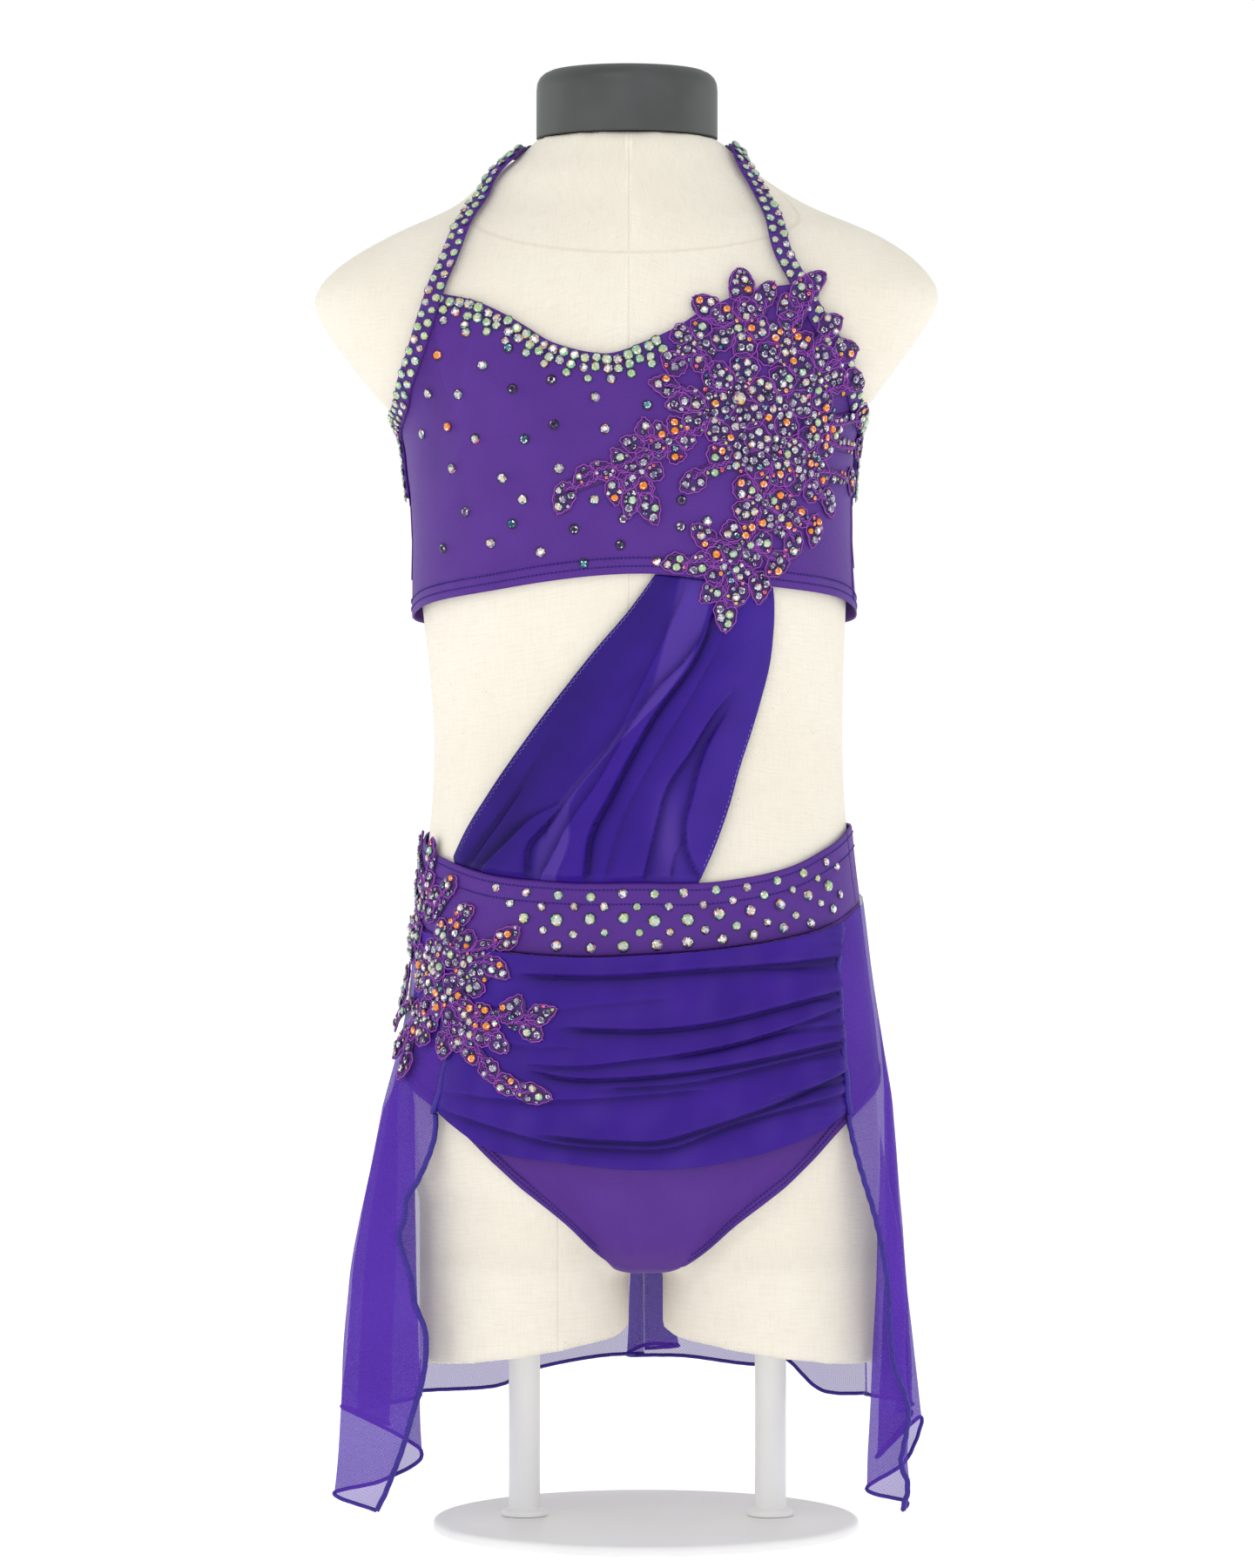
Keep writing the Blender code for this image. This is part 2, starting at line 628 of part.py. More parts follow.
def strap_path(front, behind, steps):
    """Turn and height along a strap, from the underarm to the back of the neck."""
    places = [from_seen(x, z, OVER_CLOTH) for x, z in front]
    turns = [float(turn_at(x, z)) for x, z in places]
    turns += [math.radians(turn) for turn, _ in behind]
    heights = column(places, 1) + column(behind, 1)
    points = body(np.array(turns), np.array(heights, float))
    run = np.concatenate([[0], np.cumsum(np.linalg.norm(np.diff(points, axis=0), axis=1))])
    at = np.linspace(0, run[-1], steps)
    return flow(run, turns, at), flow(run, heights, at)


def make_strap(name, front, behind):
    """A flat binding that runs up the armhole edge and round the back of the neck."""
    turn, z = strap_path(front, behind, STRAP_STEPS)
    inner = on_body(turn, z, STRAP_OFF)
    outer = on_body(turn, z, STRAP_OFF + BAND_WALL)
    out = outer - inner
    out /= np.linalg.norm(out, axis=1, keepdims=True)
    along = np.gradient(inner, axis=0)
    across = np.cross(out, along)
    across *= STRAP_WIDTH / 2 / np.linalg.norm(across, axis=1, keepdims=True)
    inner_grid = np.stack([inner - across, inner + across])
    outer_grid = np.stack([outer - across * 0.8, outer + across * 0.8])
    shell(name, inner_grid, outer_grid, "spandex")


def make_waistband():
    """The wide band, front and back, which rises towards the back."""
    seam = math.radians(BAND_SEAM_TURN)
    gap = SEAM_GAP / 120
    outside = FORM_GAP + BAND_WALL
    for name, turns in (
        ("waistband_front", np.linspace(-seam, seam, 26)),
        ("waistband_back", np.linspace(seam + gap, 2 * math.pi - seam - gap, 32)),
    ):
        wrapped = np.where(turns > math.pi, turns - 2 * math.pi, turns)
        low = band_edge(BAND_BOTTOM, wrapped)
        high = band_edge(BAND_TOP, wrapped)
        panel(name, turns, low, high, 3, "spandex", FORM_GAP, outside)


def seam_turn(side, z):
    """Turn of a side seam, where skirt and ruched panel meet."""
    table = SEAM_LEFT if side == "left" else SEAM_RIGHT
    heights = column(table, 0)[::-1]
    return turn_at(np.interp(z, heights, column(table, 1)[::-1]), z)


def ruched_relief(turn, z):
    """Outer side of the gathered panel: folds that fan out from the right seam."""
    x = body(turn, z)[..., 0]
    off = np.full(z.shape, OVER_CLOTH + CLOTH_WALL)
    fade = np.clip((x - RUCHED_FADE_FROM) / RUCHED_FADE_OVER, 0.15, 1)
    for left, middle, right, rise, width in RUCHED_FOLDS:
        crest = flow((-112, 6, 126), (left, middle, right), x)
        below = (z - crest) / width
        shape = np.exp(-np.where(below > 0, below * 0.8, below * 2.2) ** 2)
        off = off + rise * fade * shape
    return off


def make_ruched_front():
    """Mesh overlay, plain inside and folded outside."""
    columns = 16
    rows = 19
    share = np.linspace(0, 1, columns)
    inset = SEAM_GAP / 120
    rise = np.linspace(0, 1, rows)[:, None]
    low_turn = np.linspace(float(turn_at(-105, 243)), float(turn_at(119.5, 243)), columns)
    low = seen_edge(RUCHED_BOTTOM, low_turn)
    turn = np.broadcast_to(low_turn[None, :], (rows, columns))
    for _ in range(4):
        high = band_edge(BAND_BOTTOM, turn[-1]) - 2 * SEAM_GAP
        z = low[None, :] + (high - low)[None, :] * rise
        left = seam_turn("left", z[:, :1]) + inset
        right = seam_turn("right", z[:, -1:]) - inset
        turn = left + (right - left) * share[None, :]
        low = seen_edge(RUCHED_BOTTOM, turn[0])
    off = ruched_relief(turn, z)
    shell("ruched_front", on_body(turn, z, OVER_CLOTH), on_body(turn, z, off), "mesh")


def make_brief(name, leg_edge, crotch, strip_columns, behind):
    """Front or back of the brief, with the strip that runs under the crotch to its seam."""
    half_turns = np.radians(BRIEF_TURNS)
    turns = np.concatenate([-half_turns[:0:-1], half_turns])
    if behind:
        limit = math.pi - half_turns[-1] - SEAM_GAP / 130
        turns = math.pi + turns
        turns[0] = math.pi - limit
        turns[-1] = math.pi + limit
    wrapped = np.where(turns > math.pi, turns - 2 * math.pi, turns)
    from_middle = np.abs(np.degrees(turns - (math.pi if behind else 0)))
    high = band_edge(BAND_BOTTOM, wrapped) - SEAM_GAP
    shift = 0 if behind else LEG_EDGE_SHIFT
    from_middle = np.abs(from_middle - shift * (turns > 0) + shift * (turns < 0))
    low = np.interp(from_middle, column(leg_edge, 0), column(leg_edge, 1))
    share = (np.linspace(0, 1, BRIEF_ROWS) ** BRIEF_CROWDING)[:, None]
    z = low[None, :] + (high - low)[None, :] * share
    turn = np.broadcast_to(turns[None, :], z.shape)
    inner = on_body(turn, z, FORM_GAP).reshape(-1, 3)
    outer = on_body(turn, z, FORM_GAP + CLOTH_WALL).reshape(-1, 3)
    count = len(turns)
    faces = grid_faces(BRIEF_ROWS, count)
    middle = count // 2
    previous = list(range(middle - strip_columns, middle + strip_columns + 1))
    across = np.linspace(1, -1, len(previous)) if behind else np.linspace(-1, 1, len(previous))
    for y, height, half_width in crotch:
        x = CROTCH_X + half_width * across
        row = np.stack([x, np.full(x.shape, float(y)), np.full(x.shape, float(height))], axis=-1)
        start = len(inner)
        inner = np.concatenate([inner, row])
        outer = np.concatenate([outer, row - np.array([0.0, 0.0, CLOTH_WALL])])
        fresh = list(range(start, start + len(previous)))
        for k in range(len(previous) - 1):
            faces.append((fresh[k], fresh[k + 1], previous[k + 1], previous[k]))
        previous = fresh
    wall(name, inner, outer, faces, "spandex")


def make_sash():
    """Mesh drape from under the top's hem across the midriff to the waistband."""
    columns = 27
    rows = 12
    share = np.linspace(0, 1, columns)[None, :]
    fall = np.linspace(0, 1, rows)[:, None]
    falls = column(SASH_EDGES, 0)
    left = flow(falls, column(SASH_EDGES, 1), fall)
    right = flow(falls, column(SASH_EDGES, 2), fall)
    x = (left + (right - left) * share + 1) * SASH_NEARNESS - 1
    hem = band_edge(TOP_HEM, turn_at(x[:1], 540.0)) - SEAM_GAP
    band = band_edge(BAND_TOP, turn_at(x[-1:], 374.0)) + SEAM_GAP
    z = hem + (band - hem) * fall
    turn = turn_at(x, z)
    relief = np.zeros(z.shape)
    for at_top, midway, at_bottom, rise, width in SASH_PLEATS:
        place = flow((0, 0.5, 1), (at_top, midway, at_bottom), fall)
        relief += rise * np.exp(-(((share - place) / width) ** 2))
    swell = 0.35 + 0.65 * np.sin(math.pi * fall) ** 0.5
    gathers = 0.9 * np.cos(2 * math.pi * SASH_GATHERS * share) * fall**4
    off = SASH_BASE + 0.6 + np.clip(relief, -2.6, 9) * swell + gathers
    inside = np.minimum(off - CLOTH_WALL, SASH_BASE)
    inside = np.clip(inside, FORM_GAP, None)
    off = np.maximum(off, inside + CLOTH_WALL)
    shell("sash", on_body(turn, z, inside), on_body(turn, z, off), "mesh")


def rib_points(rib, side, first):
    """Points down one fold line of the skirt, with its rows spaced by height."""
    top_turn, hip_x, hip_y, mid_x, mid_y, hem_x, hem_y, hem_z = rib
    top_z = float(band_edge(BAND_BOTTOM, math.radians(top_turn))) - SEAM_GAP
    upper = np.array([top_z] + [z for z in column(SEAM_RIGHT, 0)[1:-1]], float)
    lower = np.linspace(HIP_HEIGHT, hem_z, SKIRT_LOWER_ROWS + 1)
    inset = SEAM_GAP / 120 * (1 if side == "right" else -1)
    if first:
        hip_x, hip_y, _ = on_body(seam_turn(side, HIP_HEIGHT) + inset, HIP_HEIGHT, SKIRT_OFF)
        on_hip = on_body(seam_turn(side, upper) + inset, upper, SKIRT_OFF)
    else:
        hip_turn = math.atan2(hip_x - float(section(HIP_HEIGHT)[0]), -hip_y)
        share = (top_z - upper) / (top_z - HIP_HEIGHT)
        turn = math.radians(top_turn) + (hip_turn - math.radians(top_turn)) * share
        under = on_body(hip_turn, HIP_HEIGHT, SKIRT_OFF)
        stand = np.array([hip_x - under[0], hip_y - under[1], 0.0])
        on_hip = on_body(turn, upper, SKIRT_OFF) + stand * (share**3)[:, None]
    heights = (hem_z, (hem_z + MID_HEIGHT) / 2, MID_HEIGHT, HIP_HEIGHT)
    x = flow(heights, (hem_x, (hem_x + mid_x) / 2, mid_x, hip_x), lower)
    y = flow(heights, (hem_y, (hem_y + mid_y) / 2, mid_y, hip_y), lower)
    if first:
        sway = EDGE_SWAY_LEFT if side == "left" else EDGE_SWAY_RIGHT
        x = x + np.interp(lower, column(sway, 0), column(sway, 1))
    return np.concatenate([on_hip, np.stack([x, y, lower], axis=-1)])


def make_skirt(name, side, ribs):
    """Sheer open-front skirt on one side, from its side seam to the centre back."""
    lines = np.array([rib_points(rib, side, i == 0) for i, rib in enumerate(ribs)])
    spread = np.linspace(0, len(ribs) - 1, SKIRT_COLUMNS)
    places = np.arange(len(ribs))
    grid = np.stack(
        [
            np.stack([flow(places, lines[:, row, axis], spread) for axis in range(3)], axis=-1)
            for row in range(lines.shape[1])
        ]
    )
    across = np.gradient(grid, axis=1)
    down = np.gradient(grid, axis=0)
    normal = np.cross(across, down)
    normal /= np.linalg.norm(normal, axis=-1, keepdims=True)
    half = SKIRT_WALL / 2
    shell(name, grid - normal * half, grid + normal * half, "mesh")


def leaf_field(u, v, leaf_u, leaf_v, angle, length, width):
    """Signed depth inside a pointed leaf, in millimetres."""
    a = math.radians(angle)
    along = (u - leaf_u) * math.cos(a) + (v - leaf_v) * math.sin(a)
    across = -(u - leaf_u) * math.sin(a) + (v - leaf_v) * math.cos(a)
    reach = np.sqrt((along / (length / 2)) ** 2 + (across / (width / 2)) ** 2)
    return (1 - reach) * width / 2


def flower_field(u, v, flower_u, flower_v, radius):
    """Signed depth inside a flower with rounded petals."""
    distance = np.hypot(u - flower_u, v - flower_v)
    around = np.arctan2(v - flower_v, u - flower_u)
    edge = radius * (0.86 + 0.14 * np.cos(PETALS * around))
    return edge - distance


def vine_field(u, v, start_u, start_v, end_u, end_v):
    """Signed depth inside a straight stem with round ends."""
    run_u, run_v = end_u - start_u, end_v - start_v
    t = ((u - start_u) * run_u + (v - start_v) * run_v) / max(run_u**2 + run_v**2, 1e-6)
    t = np.clip(t, 0, 1)
    return VINE_RADIUS - np.hypot(u - start_u - t * run_u, v - start_v - t * run_v)


def arc_table(z):
    """Turns, and the length round the body from the centre front to each, at one height."""
    turns = np.radians(np.arange(-110, 111, 2.0))
    x, y = torso_xy(turns, np.full(turns.shape, float(z)))
    run = np.concatenate([[0], np.cumsum(np.hypot(np.diff(x), np.diff(y)))])
    return turns, run - np.interp(0, turns, run)


def arc_at(x, z):
    """Length round the body to a front point seen at x."""
    turns, run = arc_table(z)
    return float(np.interp(float(turn_at(x, z)), turns, run))


def largest_island(faces):
    """The faces of the largest connected group."""
    owner = {}

    def root(i):
        while owner[i] != i:
            owner[i] = owner[owner[i]]
            i = owner[i]
        return i

    for face in faces:
        for i in face:
            owner.setdefault(i, i)
        for i in face[1:]:
            owner[root(i)] = root(face[0])
    groups = {}
    for face in faces:
        groups.setdefault(root(face[0]), []).append(face)
    return max(groups.values(), key=len)


def cut_sheet(field, us, vs):
    """Points and faces of a flat sheet where the field is above zero, cut along its edge."""
    points = []
    index = {}

    def corner(i, j):
        key = (i, j)
        if key not in index:
            index[key] = len(points)
            points.append((us[i], vs[j]))
        return index[key]

    def crossing(a, b):
        key = (min(a, b), max(a, b))
        if key not in index:
            (i, j), (k, m) = key
            fa, fb = field[key[0]], field[key[1]]
            t = min(max(fa / (fa - fb), 0.12), 0.88)
            index[key] = len(points)
            points.append((us[i] + (us[k] - us[i]) * t, vs[j] + (vs[m] - vs[j]) * t))
        return index[key]

    faces = []
    for i in range(len(us) - 1):
        for j in range(len(vs) - 1):
            ring = [(i, j), (i + 1, j), (i + 1, j + 1), (i, j + 1)]
            inside = [field[key] > 0 for key in ring]
            if inside in ([True, False, True, False], [False, True, False, True]):
                for k in range(4):
                    if inside[k]:
                        before, after = ring[k - 1], ring[(k + 1) % 4]
                        faces.append(
                            (crossing(before, ring[k]), corner(*ring[k]), crossing(ring[k], after))
                        )
                continue
            outline = []
            for k in range(4):
                if inside[k]:
                    outline.append(corner(*ring[k]))
                if inside[k] != inside[(k + 1) % 4]:
                    outline.append(crossing(ring[k], ring[(k + 1) % 4]))
            if len(outline) > 2:
                faces.append(tuple(outline))
    return np.array(points), largest_island(faces)


def make_applique(name, leaves, flowers, vines, base):
    """Corded lace motif, domed over its leaves, wrapped on what it lies on."""
    def placed(x, z):
        true_x, true_z = from_seen(x, z, 6.0)
        return arc_at(true_x, true_z), true_z

    pieces = []
    for x, z, angle, length, width in leaves:
        pieces.append((leaf_field, (*placed(x, z), angle, length, width)))
    for x, z, radius in flowers:
        pieces.append((flower_field, (*placed(x, z), radius)))
    for x0, z0, x1, z1 in vines:
        pieces.append((vine_field, (*placed(x0, z0), *placed(x1, z1))))
    centres = np.array([values[:2] for _, values in pieces])
    margin = 24.0
    us = np.arange(centres[:, 0].min() - margin, centres[:, 0].max() + margin, LACE_CELL)
    vs = np.arange(centres[:, 1].min() - margin, centres[:, 1].max() + margin, LACE_CELL)
    grid_u, grid_v = np.meshgrid(us, vs, indexing="ij")
    field = np.full(grid_u.shape, -50.0)
    for shape, values in pieces:
        field = np.maximum(field, shape(grid_u, grid_v, *values))
    field[np.abs(field) < 0.05] = 0.05
    flat, faces = cut_sheet(field, us, vs)
    used = sorted({i for face in faces for i in face})
    renumber = {old: new for new, old in enumerate(used)}
    flat = flat[used]
    faces = [tuple(renumber[i] for i in face) for face in faces]
    depth = np.full(len(flat), -50.0)
    for shape, values in pieces:
        depth = np.maximum(depth, shape(flat[:, 0], flat[:, 1], *values))
    turn = np.empty(len(flat))
    for i, (u, z) in enumerate(flat):
        turns, run = arc_table(z)
        turn[i] = np.interp(u, run, turns)
    z = flat[:, 1]
    inside = base(turn, z)
    dome = LACE_DOME * np.clip(depth / 5, 0, 1)
    under = on_body(turn, z, inside)
    over = on_body(turn, z, inside + LACE_WALL + dome)
    wall(name, under, over, faces, "lace")


def bust_base(turn, z):
    """How far out the bust motif lies: on the top, then on the sash below its hem."""
    return np.interp(z, (532, 556), (9.0, STRAP_OFF + BAND_WALL + LAYER_GAP))


def hip_base(turn, z):
    """How far out the hip motif lies: on the waistband, then on skirt and ruched panel."""
    ruched = 6.4 + 2.5 * np.clip((np.degrees(turn) + 50) / 20, 0, 1)
    skirt = 8.5 * np.clip((304 - z) / 45, 0, 1) * np.clip((-np.degrees(turn) - 52) / 12, 0, 1)
    return np.interp(z, (336, 362), (0, 1)) * (5.4 - ruched) + ruched + skirt


def main():
    for thing in list(bpy.data.objects):
        bpy.data.objects.remove(thing, do_unlink=True)
    make_dress_form()
    make_neck_cap()
    make_stand()
    make_top()
    make_strap("strap_left", STRAP_LEFT_FRONT, STRAP_LEFT_BACK)
    make_strap("strap_right", STRAP_RIGHT_FRONT, STRAP_RIGHT_BACK)
    make_waistband()
    make_ruched_front()
    make_brief("brief_front", LEG_EDGE_FRONT, CROTCH_PATH, CROTCH_COLUMNS_FRONT, False)
    make_brief("brief_back", LEG_EDGE_BACK, CROTCH_BACK_PATH, CROTCH_COLUMNS_BACK, True)
    make_sash()
    make_skirt("skirt_left", "left", SKIRT_RIBS_LEFT)
    make_skirt("skirt_right", "right", SKIRT_RIBS_RIGHT)
    make_applique("applique_bust", BUST_LEAVES, BUST_FLOWERS, BUST_VINES, bust_base)
    make_applique("applique_hip", HIP_LEAVES, HIP_FLOWERS, HIP_VINES, hip_base)


main()
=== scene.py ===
"""Looks of a two-piece lyrical dance costume on a limbless dress form.

Tables and sizes are in millimetres: X to the right as seen from the front, the front faces -Y,
Z up from the floor. A turn is the angle round the body from the centre front, positive towards +X.
"""

import math

import bpy
import numpy as np
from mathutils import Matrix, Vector
from mathutils.kdtree import KDTree

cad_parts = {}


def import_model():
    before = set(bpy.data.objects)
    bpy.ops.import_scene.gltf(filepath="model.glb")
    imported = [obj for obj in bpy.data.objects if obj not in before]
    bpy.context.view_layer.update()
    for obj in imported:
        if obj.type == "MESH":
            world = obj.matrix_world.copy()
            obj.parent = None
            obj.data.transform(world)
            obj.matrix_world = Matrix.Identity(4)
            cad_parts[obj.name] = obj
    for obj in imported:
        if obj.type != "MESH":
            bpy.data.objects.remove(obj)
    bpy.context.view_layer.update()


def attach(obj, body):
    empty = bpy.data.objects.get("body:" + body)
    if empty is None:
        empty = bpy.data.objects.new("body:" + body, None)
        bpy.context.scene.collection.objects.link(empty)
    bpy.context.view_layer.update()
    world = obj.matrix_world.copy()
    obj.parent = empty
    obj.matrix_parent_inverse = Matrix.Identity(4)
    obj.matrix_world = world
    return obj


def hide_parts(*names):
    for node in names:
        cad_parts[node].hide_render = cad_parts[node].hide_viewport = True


MM = 0.001
RANDOM_SEED = 7

# Layers, as distances out from the surface of the dress form
FORM_GAP = 1.4
CLOTH_WALL = 1.2
BAND_WALL = 1.6
OVER_CLOTH = 3.4
STRAP_OFF = 3.5
SPANDEX_WALL = 0.7

FORM_SECTIONS = (
    # height, centre_x, half_width, front, back, roundness
    (152, 9.5, 92, 46, 58, 2.1),
    (165, 9.5, 116, 64, 82, 2.2),
    (185, 9.5, 130, 78, 96, 2.3),
    (215, 9.0, 133.5, 87, 104, 2.4),
    (250, 8.0, 134, 91, 107, 2.4),
    (285, 8.0, 131, 92, 105, 2.4),
    (320, 7.5, 127, 90, 98, 2.4),
    (350, 6.5, 124.5, 87, 91, 2.4),
    (385, 5.5, 121, 82, 84, 2.4),
    (418, 5.5, 118, 78, 79, 2.4),
    (451, 5.5, 117, 77, 77, 2.4),
    (490, 4.5, 118.5, 80, 80, 2.4),
    (530, 3.0, 121.5, 86, 84, 2.4),
    (565, 2.0, 123, 92, 87, 2.4),
    (600, 1.0, 124.5, 95, 89, 2.4),
    (634, 0.0, 131.5, 93, 89, 2.4),
    (650, -2.0, 144.5, 91, 89, 2.35),
    (670, -2.5, 159.5, 88, 88, 2.3),
    (690, -2.5, 173.5, 84, 86, 2.2),
    (706, -1.0, 179.0, 80, 83, 2.1),
    (722, 1.0, 168.5, 74.5, 79, 2.0),
    (741, 3.5, 139.5, 67, 73, 2.0),
    (757, 2.0, 103, 60, 67, 2.0),
    (774, -2.0, 79, 53.5, 61, 2.0),
    (788, 0.0, 60, 49, 54, 2.0),
    (796, -1.0, 52, 47, 50, 2.0),
)
FORM_BOTTOM = 152.0
FORM_TOP = 796.0
THIGHS = {
    # side: centre_x, half_width, front, back
    "left": (-60.0, 60.0, 70.0, 82.0),
    "right": (81.5, 62.0, 70.0, 82.0),
}
THIGH_TOP = 228.0
THIGH_CUT = 104.0
THIGH_CUT_RISE = 9.0
THIGH_BLEND = 5.0
THIGH_BLEND_TOP = 248.0
THIGH_BLEND_HEIGHT = 18.0
POST_RADIUS = 9.0
POST_Y = 6.0
BASE_CENTRE_X = 10.0
BASE_RADIUS = 122.0

# Outlines marked "as seen" are x and height seen from this far in front, level with this centre
SEEN_FROM = 3100.0
SEEN_CENTRE = (-1.0, 426.0)

NECKLINE = (
    # x, height as seen: left strap to right strap, with the armhole slopes
    (-126, 590), (-126.3, 621), (-130.5, 635.5), (-127.4, 653), (-123, 667), (-119, 681), (-115, 694),
    (-107, 707),
    (-88, 703), (-71, 695.5), (-58, 688), (-46, 680.5), (-33, 676), (-21, 673.5), (-11, 673),
    (-1, 675.5), (6, 678.5), (17, 683), (29, 689), (39, 695.5), (54, 703), (66, 708),
    (79, 710.5), (97, 712.5), (105, 698), (112.5, 685.5), (118, 675.5), (123, 665.5),
    (126.5, 651.7), (130.4, 634.4), (127.6, 622.4), (127, 590),
)
LEFT_CORNER = 7
RIGHT_CORNER = 23
TOP_HEM = (
    # turn, height
    (-180, 520), (-130, 519), (-88, 522), (-70, 529), (-48, 535), (-30, 540), (-10, 543.5),
    (8, 544), (26, 541), (48, 537), (70, 532), (88, 524), (130, 519), (180, 520),
)
BACK_BAND_TOP = ((88, 590), (110, 583), (140, 574), (180, 570))
SIDE_SEAM_TURN = 88.0
TOP_STAND_OFF = 3.5
TOP_STAND_HEIGHTS = (524.0, 566.0)
UPPER_EASE = 0.4
MEAN_RADIUS = 125.0
CHEST_RADIUS = 120.0

BAND_TOP = (
    # turn, height
    (-180, 404), (-120, 402), (-90, 396), (-70, 386), (-52, 376), (-30, 371.5), (0, 371),
    (30, 372), (52, 380), (66, 391), (80, 401), (100, 404), (180, 404),
)
BAND_BOTTOM = (
    # turn, height
    (-180, 364), (-120, 362), (-90, 352), (-70, 342), (-50, 334), (-25, 330), (0, 331),
    (25, 334), (45, 339), (59, 345), (72, 354), (90, 362), (120, 364), (180, 364),
)
BAND_SEAM_TURN = 76.0
SIDE_SEAM_INSET = 0.0025
SEAM_LEFT = ((360, -101), (325, -101), (297, -100), (270, -98), (243, -105))
SEAM_RIGHT = ((360, 117), (325, 112.5), (297, 114.5), (270, 116.5), (243, 119.5))
RUCHED_BOTTOM = (
    # x, height
    (-105, 243.5), (-79, 225), (-37, 217), (5, 213), (47, 216), (88, 226), (107, 234),
    (119.5, 243.5),
)
LEG_EDGE_SHIFT = 2.0
LEG_EDGE_FRONT = (
    # turn, height
    (0, 155), (16, 155), (22, 158), (27, 167), (31, 176), (35, 184), (40, 193), (45, 202),
    (50, 213), (57, 229), (66, 243), (77, 253), (88, 260),
)
LEG_EDGE_BACK = (
    # turn, height
    (0, 156), (27, 168), (31, 174), (35, 181), (40, 192), (45, 207), (50, 224), (57, 238),
    (66, 246), (77, 255), (88, 260),
)
CROTCH_X = 9.75
CROTCH_TURN = 22
CROTCH_PATH = (
    # y, height, half width of the strip under the form
    (-44, 151.0, 17.0), (-30, 150.2, 9.5), (-8, 150.2, 7.3),
)
CROTCH_BACK_PATH = ((61, 150.6, 12.5), (34, 150.2, 7.6), (10, 150.2, 7.3), (-6.7, 150.2, 7.3))
CROTCH_CORNERS = (1.8, 0.8, 0.0, 0.0)

STRAP_WIDTH = 11.0
STRAP_LEFT_FRONT = ((-126, 591), (-128.5, 622), (-127.5, 651), (-123, 668), (-115, 694),
                    (-105, 721), (-92.5, 749), (-80, 767), (-66, 783))
STRAP_LEFT_BACK = ((-105, 787), (-140, 789), (-179.2, 789))
STRAP_RIGHT_FRONT = ((126.5, 591), (129, 622), (127.5, 647), (123, 665.5), (112.5, 685.5),
                     (96.5, 714), (85, 739), (71, 769), (61, 786))
STRAP_RIGHT_BACK = ((105, 788), (140, 789), (179.2, 789))

SASH_EDGES = (
    # fall, left_x, right_x as seen
    (0.0, 15, 82), (0.13, -1, 82), (0.25, -18, 80), (0.38, -35, 75), (0.5, -50, 69),
    (0.62, -64, 62.5), (0.75, -78, 56.5), (0.87, -90, 49.5), (1.0, -100, 40),
)
SASH_NEARNESS = 0.973

SKIRT_OFF = 4.8
HIP_HEIGHT = 243.0
OVER_THIGHS = 251.0
MID_HEIGHT = 150.0
HIP_ROWS = 45
FRONT_EDGE_RADIUS = 1.6
HEM_EDGE_RADIUS = 1.15
SEAM_CORD_RADIUS = 1.9
SKIRT_RIBS_RIGHT = (
    # top_turn, hip_x, hip_y, mid_x, mid_y, hem_x, hem_y, hem_height
    (60, 125, -55, 145, -66, 154, -62, 18),
    (72, 138.5, -45, 155, -55, 156.5, -54, 22),
    (78, 143.5, -34, 140, -45, 134.5, -46, 28),
    (81, 149, -25, 153, -36, 157, -39, 43),
    (84, 150.5, -17, 157, -26, 166, -30, 67),
    (87, 146, -11, 146.5, -15, 141.5, -16, 42),
    (89.5, 150, -4, 157, -6, 162, -8, 66),
    (92, 147.5, 2, 152, 4, 154, 6, 66),
    (101, 152, 26, 160, 32, 165, 36, 67),
    (113, 135, 52, 139, 60, 140, 62, 69),
    (125, 124, 80, 133, 90, 140, 96, 66),
    (134, 107, 91, 111, 100, 114, 106, 67),
    (143, 88, 106, 91, 109, 92, 111, 86),
    (153, 68, 117, 73, 127, 76, 134, 79),
    (165, 38, 117, 38, 120, 36, 124, 85),
    (169, 20, 121, 19, 127, 16, 130, 85),
    (172, 1.5, 126, 1.5, 136, -1, 142, 84),
    (175, 10, 128, 11, 139, 12, 145, 90),
    (177.5, 20, 128, 20.5, 139, 30, 146, 89),
    (179.9, 8.7, 123, 9.3, 132, 9.8, 139, 88),
)
SKIRT_RIBS_LEFT = (
    # top_turn, hip_x, hip_y, mid_x, mid_y, hem_x, hem_y, hem_height
    (-60, -110.5, -55, -125.5, -66, -142, -64, 18),
    (-66, -138, -44, -157, -57, -166, -50, 26),
    (-70, -130, -37, -139, -49, -138, -44, 33),
    (-75, -122, -31, -120.5, -42, -118, -40, 49),
    (-84, -140.5, -16, -157, -20, -164, -16, 71),
    (-92, -133, 6, -134, 8, -138, 10, 58),
    (-103, -138, 30, -153, 34, -158, 38, 62),
    (-115, -119, 56, -122, 64, -124, 66, 67),
    (-127, -106, 84, -115, 94, -122, 100, 67),
    (-140, -76, 101, -78, 107, -79, 109, 69),
    (-153, -52, 117, -56, 127, -58, 135, 76),
    (-166, -20, 117, -20, 120, -20, 122, 85),
    (-179.9, 7.9, 122, 8.5, 132, 9.0, 140, 85),
)
EDGE_SWAY_LEFT = (
    # height, extra x of the front edge over its straight fall
    (18, 0), (25, 2.9), (37, 6.3), (49, 9.5), (71, 13.5), (93, 17), (108, 17), (118, 15.5),
    (137, 6.5), (147, 4), (162, -3), (172, -7.2), (182, -6), (194, -6.5), (201, -3.5), (211, -0.5),
    (229, 2), (243, 0),
)
